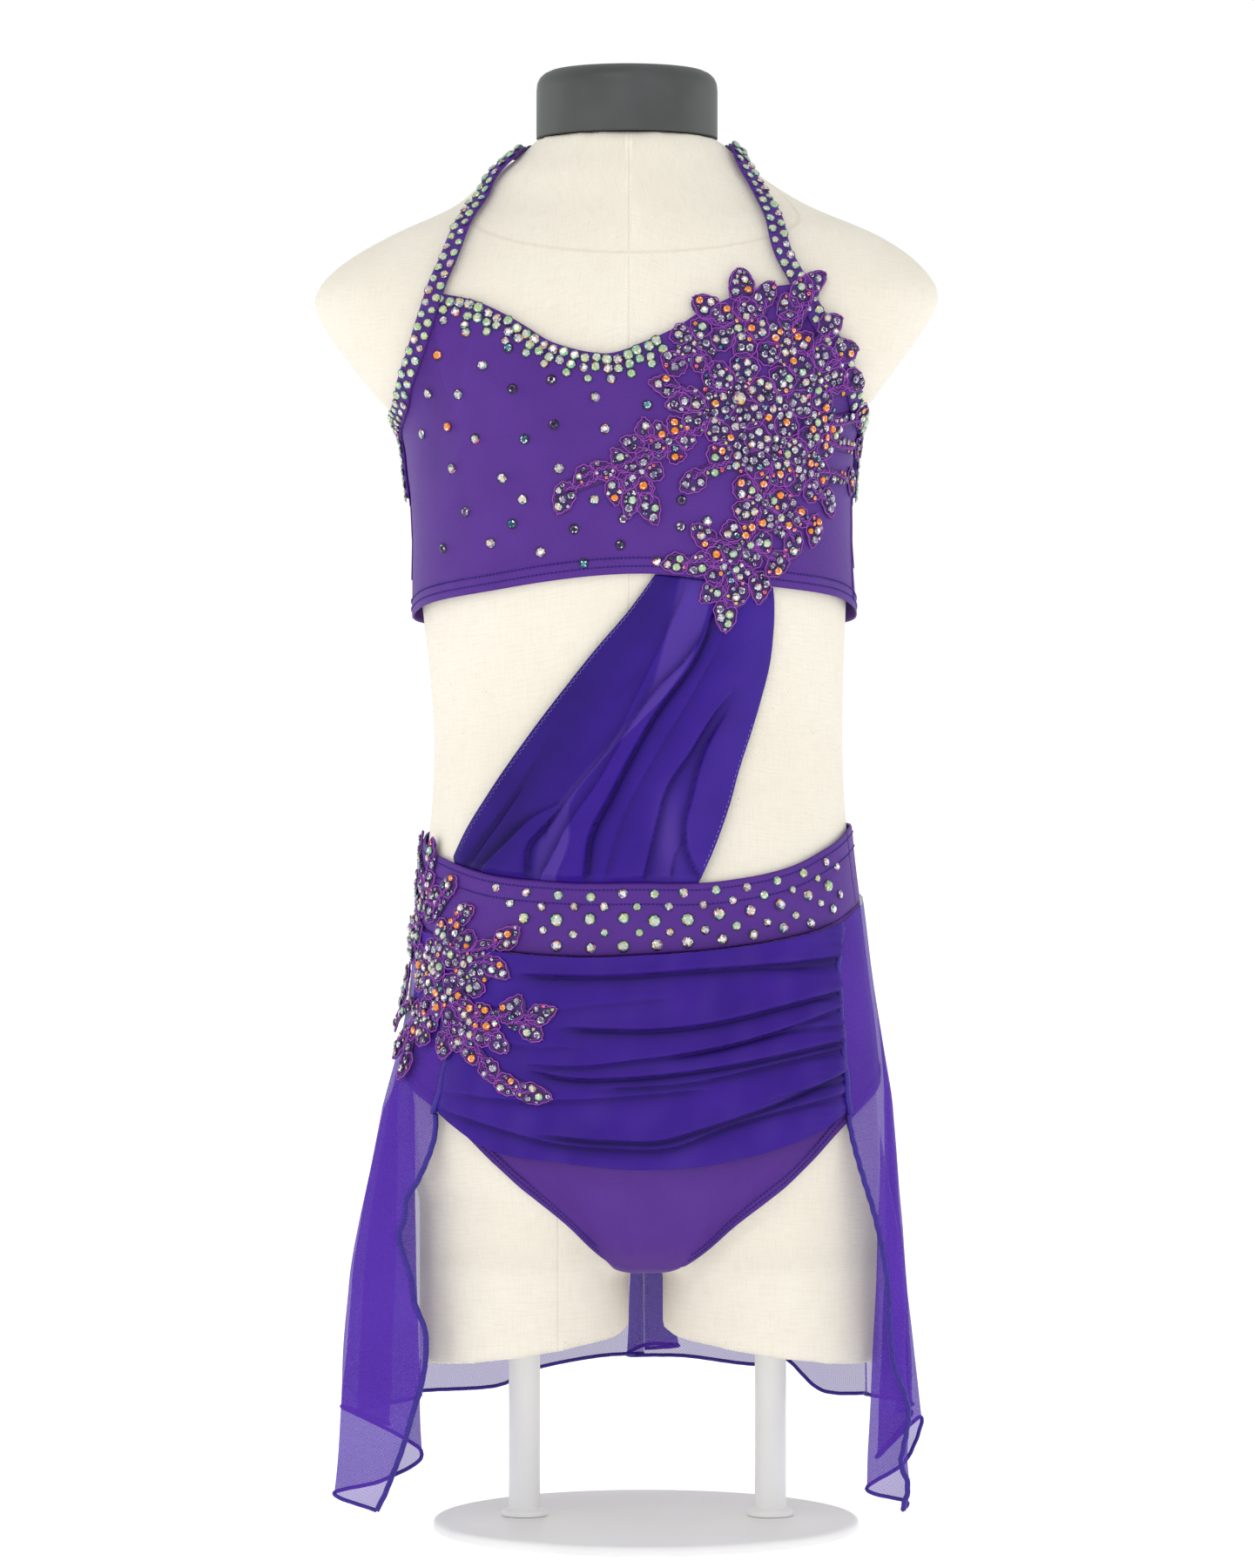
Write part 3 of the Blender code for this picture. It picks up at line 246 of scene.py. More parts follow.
EDGE_SWAY_RIGHT = (
    # height, extra x of the front edge over its straight fall
    (18, 0), (32, 4), (44, 1), (57, 4), (73, 7), (82, 6), (97, 1), (120, -1), (143, 0),
    (164, 0), (185, 0), (207, -1), (229, -1), (243, 0),
)

GRIDS = {
    # piece: points across and along its sheet
    "top_front": (200, 88), "top_back": (120, 34), "strap": (13, 180),
    "waistband_front": (170, 34), "waistband_back": (110, 34),
    "brief_front": (184, 78), "brief_back": (110, 40), "ruched_front": (140, 180),
    "sash": (180, 144), "skirt": (210, 112),
}


def flow(places, values, at):
    """A smooth curve through a table's values, read at one place or many."""
    places = np.asarray(places, float)
    values = np.asarray(values, float)
    slopes = np.gradient(values, places)
    at = np.clip(at, places[0], places[-1])
    i = np.clip(np.searchsorted(places, at) - 1, 0, len(places) - 2)
    span = places[i + 1] - places[i]
    t = (at - places[i]) / span
    rise = values[i + 1] - values[i]
    start = slopes[i] * span
    end = slopes[i + 1] * span
    return values[i] + t * (start + t * (3 * rise - 2 * start - end + t * (start + end - 2 * rise)))


def column(table, number):
    """One column of a table."""
    return [row[number] for row in table]


def unit(vectors):
    """The same directions with length one."""
    return vectors / np.maximum(np.linalg.norm(vectors, axis=-1, keepdims=True), 1e-9)


def run_along(path):
    """Length from the start of a path to each of its points."""
    return np.concatenate([[0], np.cumsum(np.linalg.norm(np.diff(path, axis=0), axis=1))])


def section(z):
    """Centre, half width, front, back and roundness of the torso at a height."""
    heights = column(FORM_SECTIONS, 0)
    return [flow(heights, column(FORM_SECTIONS, i), z) for i in range(1, 6)]


def soft_max(a, b, blend):
    """The larger of two values, with a rounded change over."""
    return (a + b + np.sqrt((a - b) ** 2 + blend**2)) / 2


def torso_xy(turn, z):
    """Plan position on the torso at a turn in radians and a height."""
    centre, half, front, back, power = section(z)
    side = np.abs(np.sin(turn))
    ahead = np.abs(np.cos(turn))
    depth = np.where(np.cos(turn) > 0, front, back)
    reach = ((side / half) ** power + (ahead / depth) ** power) ** (-1 / power)
    return centre + reach * np.sin(turn), -reach * np.cos(turn)


def body(turn, z):
    """A point on the form, with the thigh ends blended in below the hips."""
    turn, z = np.broadcast_arrays(np.asarray(turn, float), np.asarray(z, float))
    x, y = torso_xy(turn, z)
    ahead = np.cos(turn)
    blend = THIGH_BLEND * np.abs(ahead)
    share = np.clip((THIGH_BLEND_TOP - z) / THIGH_BLEND_HEIGHT, 0, 1)
    share = share**2 * (3 - 2 * share)
    depth = np.abs(y)
    for centre, half, front, back in THIGHS.values():
        reach = np.where(ahead > 0, front, back)
        across = np.clip(1 - ((x - centre) / half) ** 2, 0, 1)
        thigh = reach * np.sqrt(across)
        depth = depth + (soft_max(depth, thigh, blend) - depth) * share
    return np.stack([x, np.where(ahead > 0, -depth, depth), z], axis=-1)


def body_normal(turn, z):
    """The form's outward direction at a turn and a height."""
    round_way = body(turn + 0.02, z) - body(turn - 0.02, z)
    up_way = body(turn, z + 1.0) - body(turn, z - 1.0)
    return unit(np.cross(round_way, up_way))


def on_body(turn, z, off):
    """A point moved out from the form along its normal."""
    turn, z, off = np.broadcast_arrays(
        np.asarray(turn, float), np.asarray(z, float), np.asarray(off, float)
    )
    return body(turn, z) + body_normal(turn, z) * off[..., None]


def turn_at(x, z):
    """The turn of a front point seen at x and a height, in radians."""
    centre, half, front, _, power = section(z)
    across = np.clip(np.abs(np.asarray(x, float) - centre) / half, 0, 0.9999)
    depth = front * (1 - across**power) ** (1 / power)
    return np.arctan2(np.asarray(x, float) - centre, depth)


def from_seen(x, z, off=0.0):
    """Where points seen at x and a height lie on the body."""
    seen = np.stack(np.broadcast_arrays(np.asarray(x, float), np.asarray(z, float)), axis=-1)
    centre = np.array(SEEN_CENTRE)
    true = seen
    for _ in range(3):
        depth = -on_body(turn_at(true[..., 0], true[..., 1]), true[..., 1], off)[..., 1]
        true = centre + (seen - centre) * (1 - depth / SEEN_FROM)[..., None]
    return true[..., 0], true[..., 1]


def seen_line(points, off):
    """A table of points as seen, laid on the body."""
    return from_seen(np.array(column(points, 0), float), np.array(column(points, 1), float), off)


# Length round the body against turn, in rows of one height each
ARC_TURNS = np.radians(np.arange(-120.0, 120.5, 1.0))
ARC_HEIGHTS = np.arange(200.0, 760.0, 4.0)


def make_arc_rows():
    """Length from the centre front to each turn, at each height."""
    rows = []
    for z in ARC_HEIGHTS:
        x, y = torso_xy(ARC_TURNS, np.full(ARC_TURNS.shape, z))
        run = np.concatenate([[0], np.cumsum(np.hypot(np.diff(x), np.diff(y)))])
        rows.append(run - np.interp(0, ARC_TURNS, run))
    return np.array(rows)


ARC_ROWS = make_arc_rows()


def between_rows(values, z, read):
    """Reads each value off the rows next to its height, and mixes the two."""
    values, z = np.broadcast_arrays(np.asarray(values, float), np.asarray(z, float))
    place = np.clip((z - ARC_HEIGHTS[0]) / (ARC_HEIGHTS[1] - ARC_HEIGHTS[0]), 0, len(ARC_ROWS) - 1.001)
    low = place.astype(int)
    share = place - low
    out = np.empty(values.shape)
    for row in np.unique(low):
        pick = low == row
        a, b = read(values[pick], ARC_ROWS[row]), read(values[pick], ARC_ROWS[row + 1])
        out[pick] = a + (b - a) * share[pick]
    return out


def arc_of(turn, z):
    """Length round the body from the centre front."""
    return between_rows(turn, z, lambda at, row: np.interp(at, ARC_TURNS, row))


def turn_of(arc, z):
    """Turn at a length round the body from the centre front."""
    return between_rows(arc, z, lambda at, row: np.interp(at, row, ARC_TURNS))


def band_edge(table, turn):
    """Height of an edge given by turns in degrees."""
    return flow(column(table, 0), column(table, 1), np.degrees(turn))


# Colours of the materials

LINEN_LIGHT = (0.900, 0.852, 0.745)
LINEN_WARM = (0.870, 0.815, 0.700)
LINEN_SHADE = (0.70, 0.64, 0.50)
LINEN_SPECK = (0.30, 0.22, 0.13)
LINEN_SEAM = (0.45, 0.38, 0.27)
SPANDEX = (0.078, 0.017, 0.242)
SPANDEX_LIGHT = (0.102, 0.026, 0.300)
SPANDEX_DEEP = (0.056, 0.010, 0.185)
NET = (0.108, 0.036, 0.440)
NET_DEEP = (0.088, 0.028, 0.370)
NET_LIGHT = (0.12, 0.045, 0.46)
NET_COVER = (0.57, 0.71)
NET_THIN = (0.115, 0.060, 0.360)
# Colour of the painted shade under the folds and in the creases of the layered net
NET_PAINTED_SHADE = (0.010, 0.003, 0.075)
LAYERED_NET = ((0.037, 0.007, 0.240), (0.053, 0.015, 0.300), (0.026, 0.004, 0.185))
DRAPED_NET = ((0.034, 0.007, 0.245), (0.052, 0.014, 0.330), (0.022, 0.003, 0.170))
LACE_NET = (0.060, 0.013, 0.175)
LACE_NET_DEEP = (0.028, 0.008, 0.080)
LACE_NET_LIGHT = (0.10, 0.03, 0.22)
THREADS = {
    # name: tone, light tone, length of one wrap
    "edge_cord": ((0.022, 0.008, 0.200), (0.060, 0.030, 0.360), 1.3),
    "lace_cord": ((0.230, 0.045, 0.360), (0.420, 0.110, 0.560), 1.1),
    "lace_inner_cord": ((0.16, 0.045, 0.33), (0.230, 0.045, 0.360), 1.1),
    "stitch_thread": ((0.014, 0.010, 0.180), (0.035, 0.022, 0.30), 0.5),
    "pale_thread": ((0.22, 0.18, 0.56), (0.40, 0.34, 0.74), 0.6),
}
CAP_TONES = ((0.040, 0.044, 0.044), (0.060, 0.066, 0.066))
COAT_TONES = ((0.80, 0.80, 0.80), (0.86, 0.86, 0.855))


# Node graphs


class Graph:
    """A short way to write a material's nodes."""

    def __init__(self, name):
        self.material = bpy.data.materials.new(name)
        self.material.use_nodes = True
        self.tree = self.material.node_tree
        self.shader = self.tree.nodes["Principled BSDF"]
        self.output = self.tree.nodes["Material Output"]

    def node(self, kind, **values):
        """A new node with its settings."""
        made = self.tree.nodes.new(kind)
        for key, value in values.items():
            setattr(made, key, value)
        return made

    def join(self, source, target):
        """A link from an output to an input."""
        self.tree.links.new(source, target)

    def set(self, node, **values):
        """Constant values of a node's inputs, with _ for a space in their names."""
        for key, value in values.items():
            node.inputs[key.replace("_", " ")].default_value = value
        return node

    def feed(self, socket, value):
        """A number, a colour or another node's output into an input."""
        if isinstance(value, (int, float)):
            socket.default_value = value
        elif isinstance(value, tuple):
            socket.default_value = (*value, 1.0)
        else:
            self.join(value, socket)

    def math(self, operation, a, b=0.0):
        """The result of one operation on two numbers or outputs."""
        made = self.node("ShaderNodeMath", operation=operation)
        self.feed(made.inputs[0], a)
        self.feed(made.inputs[1], b)
        return made.outputs[0]

    def mix(self, share, a, b):
        """A blend of two colours or outputs."""
        made = self.node("ShaderNodeMix", data_type="RGBA")
        for number, value in ((0, share), (6, a), (7, b)):
            self.feed(made.inputs[number], value)
        return made.outputs[2]

    def tint(self, tone, share, strength, colour):
        """The tone, part of the way to a colour where the share is high."""
        return self.mix(self.math("MULTIPLY", share, strength), tone, colour)

    def value(self, name):
        """A number carried by the mesh."""
        return self.node("ShaderNodeAttribute", attribute_name=name).outputs["Fac"]

    def cloth(self):
        """Place on the flat cloth in millimetres, and its parts across and along."""
        place = self.node("ShaderNodeAttribute", attribute_name="cloth").outputs["Vector"]
        split = self.node("ShaderNodeSeparateXYZ")
        self.join(place, split.inputs[0])
        return place, split.outputs[0], split.outputs[1]

    def solid_place(self):
        """Place in the object, in metres."""
        return self.node("ShaderNodeTexCoord").outputs["Object"]

    def stretched(self, place, scale):
        """A place scaled by its own factor along each axis."""
        made = self.node("ShaderNodeMapping")
        made.inputs["Scale"].default_value = scale
        self.join(place, made.inputs["Vector"])
        return made.outputs[0]

    def paint(self, tone, roughness=None):
        """Colour of the surface, and its roughness where that varies."""
        self.join(tone, self.shader.inputs["Base Color"])
        if roughness is not None:
            self.join(roughness, self.shader.inputs["Roughness"])

    def noise(self, vector, scale, detail=2.0):
        """Cloudy noise from 0 to 1."""
        made = self.node("ShaderNodeTexNoise")
        self.set(made, Scale=scale, Detail=detail)
        self.join(vector, made.inputs["Vector"])
        return made.outputs["Fac"]

    def ramp(self, value, low, high, to_low=0.0, to_high=1.0):
        """A value mapped from one range to another, and held at its ends."""
        made = self.node("ShaderNodeMapRange")
        self.set(made, From_Min=low, From_Max=high, To_Min=to_low, To_Max=to_high)
        self.join(value, made.inputs["Value"])
        return made.outputs["Result"]

    def bump(self, height, distance):
        """Fine relief of the surface, with its depth in metres."""
        made = self.node("ShaderNodeBump")
        self.set(made, Strength=1.0, Distance=distance)
        self.join(height, made.inputs["Height"])
        self.join(made.outputs["Normal"], self.shader.inputs["Normal"])


def weave_of(graph, pitch_u, pitch_v):
    """Over and under pattern of threads from the cloth's own millimetres."""
    place, u, v = graph.cloth()
    across = graph.math("SINE", graph.math("MULTIPLY", u, 2 * math.pi / pitch_u))
    along = graph.math("SINE", graph.math("MULTIPLY", v, 2 * math.pi / pitch_v))
    return place, across, along


def make_linen():
    """Cream linen: plain weave with slubs, small specks, and the form's sewn seams."""
    g = Graph("linen_cloth")
    place, across, along = weave_of(g, 1.0, 1.0)
    weave = g.math("MULTIPLY", across, along)
    slub_up = g.noise(g.stretched(place, (0.9, 0.06, 1.0)), 1.0)
    slub_round = g.noise(g.stretched(place, (0.06, 0.9, 1.0)), 1.0)
    slubs = g.math("ADD", g.ramp(slub_up, 0.45, 0.7), g.ramp(slub_round, 0.45, 0.7))
    broad = g.noise(place, 0.012)
    tone = g.mix(g.ramp(broad, 0.35, 0.7), LINEN_LIGHT, LINEN_WARM)
    tone = g.tint(tone, g.ramp(weave, -1.0, 1.0), 0.06, LINEN_SHADE)
    tone = g.tint(tone, slubs, 0.17, LINEN_SHADE)
    cells = g.node("ShaderNodeTexVoronoi")
    g.set(cells, Scale=0.055)
    g.join(place, cells.inputs["Vector"])
    speck = g.math("LESS_THAN", cells.outputs["Distance"], 0.028)
    tone = g.tint(tone, speck, 0.45, LINEN_SPECK)
    seam = None
    for name in ("side", "middle", "neck"):
        away = g.math("ABSOLUTE", g.value(name))
        line = g.ramp(away, 0.15, 0.75, 1.0, 0.0)
        seam = line if seam is None else g.math("MAXIMUM", seam, line)
    g.paint(g.tint(tone, seam, 0.18, LINEN_SEAM))
    g.set(g.shader, Roughness=0.9, Sheen_Weight=0.15, Sheen_Roughness=0.5)
    height = g.math("ADD", weave, g.math("MULTIPLY", slubs, 0.8))
    height = g.math("SUBTRACT", height, g.math("MULTIPLY", seam, 2.0))
    g.bump(height, 0.00007)
    return g.material


def make_spandex():
    """Purple knit: fine columns of loops, a soft sheen and a slightly uneven tone."""
    g = Graph("spandex_knit")
    place, across, along = weave_of(g, 0.55, 0.75)
    loops = g.math("ABSOLUTE", g.math("ADD", across, g.math("MULTIPLY", along, 0.4)))
    fine = g.noise(place, 1.3, 3.0)
    broad = g.noise(place, 0.03)
    tone = g.mix(g.ramp(fine, 0.3, 0.75), SPANDEX, SPANDEX_LIGHT)
    tone = g.tint(tone, g.ramp(broad, 0.4, 0.75), 0.35, SPANDEX_DEEP)
    tone = g.tint(tone, g.ramp(loops, 0.0, 0.5, 1.0, 0.0), 0.25, SPANDEX_DEEP)
    g.paint(tone, g.ramp(fine, 0.2, 0.8, 0.42, 0.6))
    g.set(g.shader, Sheen_Weight=0.12, Sheen_Roughness=0.35, Sheen_Tint=(0.62, 0.40, 1.0, 1.0),
          Specular_IOR_Level=0.28)
    g.bump(g.math("ADD", loops, g.math("MULTIPLY", fine, 0.8)), 0.00006)
    return g.material


def net_lines(g, pitch):
    """Six-sided net of fine threads: near 1 on a thread and 0 in a hole."""
    place, across, along = g.cloth()
    turn = 2 * math.pi / pitch
    lines = []
    for u, v in ((1.0, 0.0), (0.5, 0.866), (-0.5, 0.866)):
        run = g.math("ADD", g.math("MULTIPLY", across, u * turn), g.math("MULTIPLY", along, v * turn))
        lines.append(g.math("COSINE", run))
    total = g.math("ADD", g.math("ADD", lines[0], lines[1]), lines[2])
    return place, g.ramp(total, -1.5, 3.0, 1.0, 0.0)


def make_net():
    """Sheer stretch net: dyed threads with the light coming through between them."""
    g = Graph("sheer_net")
    place, lines = net_lines(g, 1.25)
    broad = g.noise(place, 0.02)
    tone = g.mix(g.ramp(broad, 0.35, 0.7), NET, NET_DEEP)
    g.paint(g.tint(tone, lines, 0.25, NET_LIGHT))
    g.set(g.shader, Roughness=0.55, Specular_IOR_Level=0.05)
    g.bump(lines, 0.00005)
    passed = g.node("ShaderNodeBsdfTransparent")
    passed.inputs["Color"].default_value = (1.0, 1.0, 1.0, 1.0)
    blend = g.node("ShaderNodeMixShader")
    g.join(g.ramp(lines, 0.0, 1.0, *NET_COVER), blend.inputs[0])
    g.join(passed.outputs[0], blend.inputs[1])
    g.join(g.shader.outputs[0], blend.inputs[2])
    g.join(blend.outputs[0], g.output.inputs["Surface"])
    return g.material


def make_layered_net(name, colour, light, deep):
    """Two layers of net over cloth, close enough to look solid, with a fine ribbed grain. Values on the mesh
    give a lighter single layer, painted light and painted shade.
    """
    g = Graph(name)
    place, lines = net_lines(g, 1.1)
    broad = g.noise(place, 0.03)
    fine = g.noise(place, 1.5, 3.0)
    tone = g.mix(g.ramp(broad, 0.3, 0.7), colour, deep)
    tone = g.tint(tone, lines, 0.35, light)
    # A single layer of net where the thin value is high; on the sash that value also carries painted light on
    # its right side
    tone = g.mix(g.value("thin"), tone, NET_THIN)
    # Painted shade under the folds and in the creases, and over the left part of the sash
    tone = g.mix(g.value("painted_shade"), tone, NET_PAINTED_SHADE)
    g.paint(tone, g.ramp(fine, 0.2, 0.8, 0.40, 0.55))
    g.set(g.shader, Sheen_Weight=0.08, Sheen_Roughness=0.3, Sheen_Tint=(0.5, 0.35, 1.0, 1.0),
          Specular_IOR_Level=0.15)
    g.bump(g.math("ADD", lines, g.math("MULTIPLY", fine, 0.4)), 0.00005)
    return g.material


def make_thread(name, colour, light, pitch):
    """Twisted thread or overlocked edge: slanting wraps along the cord."""
    g = Graph(name)
    place, length, round_turn = g.cloth()
    run = g.math("ADD", g.math("MULTIPLY", length, 2 * math.pi / pitch), round_turn)
    wraps = g.ramp(g.math("SINE", run), -1.0, 1.0)
    uneven = g.noise(place, 0.2)
    g.paint(g.tint(colour, wraps, g.ramp(uneven, 0.3, 0.7, 0.4, 1.0), light))
    g.set(g.shader, Roughness=0.45, Specular_IOR_Level=0.3)
    g.bump(wraps, 0.00012)
    return g.material


def make_lace_net():
    """Ground of the lace: dyed net with satin filling stitches."""
    g = Graph("lace_ground")
    place, lines = net_lines(g, 1.4)
    fine = g.noise(place, 0.5, 3.0)
    tone = g.mix(g.ramp(fine, 0.35, 0.7), LACE_NET, LACE_NET_DEEP)
    g.paint(g.tint(tone, lines, 0.3, LACE_NET_LIGHT))
    g.set(g.shader, Roughness=0.55, Specular_IOR_Level=0.3)
    g.bump(g.math("ADD", lines, fine), 0.0002)
    return g.material


def make_plastic():
    """Dark moulded plastic of the neck cap, with a faint moulded grain."""
    g = Graph("cap_plastic")
    place = g.solid_place()
    smear = g.noise(place, 30.0)
    g.paint(g.mix(g.ramp(smear, 0.3, 0.7), *CAP_TONES), g.ramp(smear, 0.2, 0.8, 0.38, 0.55))
    g.bump(g.noise(place, 900.0), 0.00005)
    return g.material


def make_powder_coat():
    """White powder coated steel of the stand."""
    g = Graph("powder_coat")
    place = g.solid_place()
    smear = g.noise(place, 12.0)
    g.paint(g.mix(g.ramp(smear, 0.3, 0.7), *COAT_TONES), g.ramp(smear, 0.2, 0.8, 0.32, 0.48))
    g.bump(g.noise(place, 500.0), 0.00008)
    return g.material


def make_gem(name, colour):
    """One facet colour of the crystals, with a slight inner cloudiness, or the glue round them."""
    g = Graph("gem_" + name)
    cloud = g.noise(g.solid_place(), 700.0)
    darker = tuple(0.72 * c for c in colour)
    g.paint(g.mix(g.ramp(cloud, 0.35, 0.75), colour, darker))
    roughness, metallic = (0.35, 0.0) if name == "glue" else (0.08, 0.35)
    g.set(g.shader, Roughness=roughness, Metallic=metallic, Specular_IOR_Level=0.35)
    return g.material


# Mesh making

ROOT = "root"


def add_object(name, data):
    """A new object in the scene."""
    thing = bpy.data.objects.new(name, data)
    bpy.context.scene.collection.objects.link(thing)
    return thing


def apply_modifiers(thing):
    """Puts the result of an object's modifiers in its own mesh."""
    bpy.context.view_layer.update()
    done = bpy.data.meshes.new_from_object(thing.evaluated_get(bpy.context.evaluated_depsgraph_get()))
    thing.modifiers.clear()
    thing.data = done
    return done


def finish_piece(name, mesh, nodes=()):
    """Makes a piece of a mesh, with its body and the nodes that it replaces."""
    thing = add_object(name, mesh)
    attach(thing, ROOT)
    if nodes:
        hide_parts(*nodes)
    return thing


def build_mesh(name, points, faces, materials, indices=None, cloth=None, extra=None):
    """A mesh from points in millimetres, with the cloth's own place and other values per point.

    It has flat faces where each face has its own material, and is smooth otherwise.
    """
    mesh = bpy.data.meshes.new(name)
    mesh.from_pydata((np.asarray(points) * MM).tolist(), [], faces)
    for material in materials:
        mesh.materials.append(material)
    if indices is not None:
        mesh.polygons.foreach_set("material_index", np.asarray(indices, dtype=np.int32))
    mesh.polygons.foreach_set("use_smooth", np.full(len(mesh.polygons), indices is None))
    if cloth is not None:
        flat = np.zeros((len(points), 3))
        flat[:, : cloth.shape[1]] = cloth
        layer = mesh.attributes.new("cloth", "FLOAT_VECTOR", "POINT")
        layer.data.foreach_set("vector", flat.ravel())
    for key, values in (extra or {}).items():
        layer = mesh.attributes.new(key, "FLOAT", "POINT")
        layer.data.foreach_set("value", np.asarray(values, float))
    mesh.update()
    return mesh


def grid_faces(rows, columns, start=0, flip=False):
    """The four-sided faces of a grid of points."""
    low = (np.arange(rows - 1)[:, None] * columns + np.arange(columns - 1)[None, :]).ravel() + start
    faces = np.stack([low, low + 1, low + 1 + columns, low + columns], axis=1)
    return (faces[:, ::-1] if flip else faces).tolist()


def cloth_place(grid):
    """Place on the flat cloth of each point of a grid, in millimetres."""
    across = np.zeros(grid.shape[:2])
    across[:, 1:] = np.cumsum(np.linalg.norm(np.diff(grid, axis=1), axis=2), axis=1)
    across -= across[:, grid.shape[1] // 2][:, None]
    along = np.zeros(grid.shape[:2])
    along[1:] = np.cumsum(np.linalg.norm(np.diff(grid, axis=0), axis=2), axis=0)
    return np.stack([across.ravel(), along.ravel()], axis=1)


def grid_normals(grid):
    """Outward direction at each point of a grid."""
    return unit(np.cross(np.gradient(grid, axis=1), np.gradient(grid, axis=0)))


def cloth_piece(name, node, grid, material, wall, extra=None):
    """A piece of cloth from a grid of its outer points, in place of a node."""
    finish_piece(name, sheet_mesh(name, grid, [material], wall, extra), (node,))


def sheet_mesh(name, grid, materials, wall, extra):
    """A sheet of cloth from a grid of its outer points, with a wall of its own if it has one."""
    rows, columns = grid.shape[:2]
    place = cloth_place(grid)
    outer = grid.reshape(-1, 3)
    if not wall:
        return build_mesh(name, outer, grid_faces(rows, columns), materials, cloth=place)
    inner = (grid - grid_normals(grid) * wall).reshape(-1, 3)
    count = len(outer)
    faces = grid_faces(rows, columns) + grid_faces(rows, columns, count, flip=True)
    index = np.arange(count).reshape(rows, columns)
    loop = np.concatenate([index[0], index[1:, -1], index[-1, ::-1][1:], index[::-1, 0][1:]])
    faces += [(int(b), int(a), int(a) + count, int(b) + count) for a, b in zip(loop, loop[1:])]
    both = {key: np.concatenate([v, v]) for key, v in (extra or {}).items()}
    return build_mesh(name, np.concatenate([outer, inner]), faces, materials,
                      cloth=np.concatenate([place, place]), extra=both)


class Tubes:
    """Many cords joined in one mesh. Each follows points, with a known outward direction."""

    def __init__(self):
        self.points = []
        self.faces = []
        self.place = []
        self.count = 0

    def add(self, path, out, radius, sides, closed=False):
        """One cord along a path, closed in a loop or capped at both ends."""
        path = np.asarray(path, float)
        steps = len(path)
        if closed:
            along = unit(np.roll(path, -1, axis=0) - np.roll(path, 1, axis=0))
        else:
            along = unit(np.gradient(path, axis=0))
        side = unit(np.cross(along, out))
        out = np.cross(side, along)
        angles = np.arange(sides) * 2 * math.pi / sides
        ring = (
            path[:, None, :]
            + side[:, None, :] * (np.cos(angles) * radius)[None, :, None]
            + out[:, None, :] * (np.sin(angles) * radius)[None, :, None]
        )
        place = np.zeros((steps, sides, 3))
        place[..., 0] = run_along(path)[:, None]
        place[..., 1] = angles[None, :]
        self.points.append(ring.reshape(-1, 3))
        self.place.append(place.reshape(-1, 3))
        last = steps if closed else steps - 1
        i = np.arange(last)[:, None]
        k = np.arange(sides)[None, :]
        a = i * sides + k
        b = i * sides + (k + 1) % sides
        c = ((i + 1) % steps) * sides + (k + 1) % sides
        d = ((i + 1) % steps) * sides + k
        quads = np.stack([a, b, c, d], axis=-1).reshape(-1, 4) + self.count
        self.faces += quads.tolist()
        if not closed:
            self.faces.append((np.arange(sides)[::-1] + self.count).tolist())
            self.faces.append((np.arange(sides) + self.count + (steps - 1) * sides).tolist())
        self.count += steps * sides

    def finish(self, name, material, slot):
        """Makes one piece of all the cords."""
        mesh = build_mesh(name, np.concatenate(self.points), self.faces, [material],
                          cloth=np.concatenate(self.place))
        finish_piece(name, mesh)


def resample(path, pitch, values=None):
    """Points at even spacing along a path, with values carried along."""
    path = np.asarray(path, float)
    run = run_along(path)
    count = max(int(round(run[-1] / pitch)) + 1, 2)
    at = np.linspace(0, run[-1], count)

    def read(table):
        return np.stack([np.interp(at, run, table[:, k]) for k in range(table.shape[1])], axis=1)

    return read(path) if values is None else (read(path), read(values))


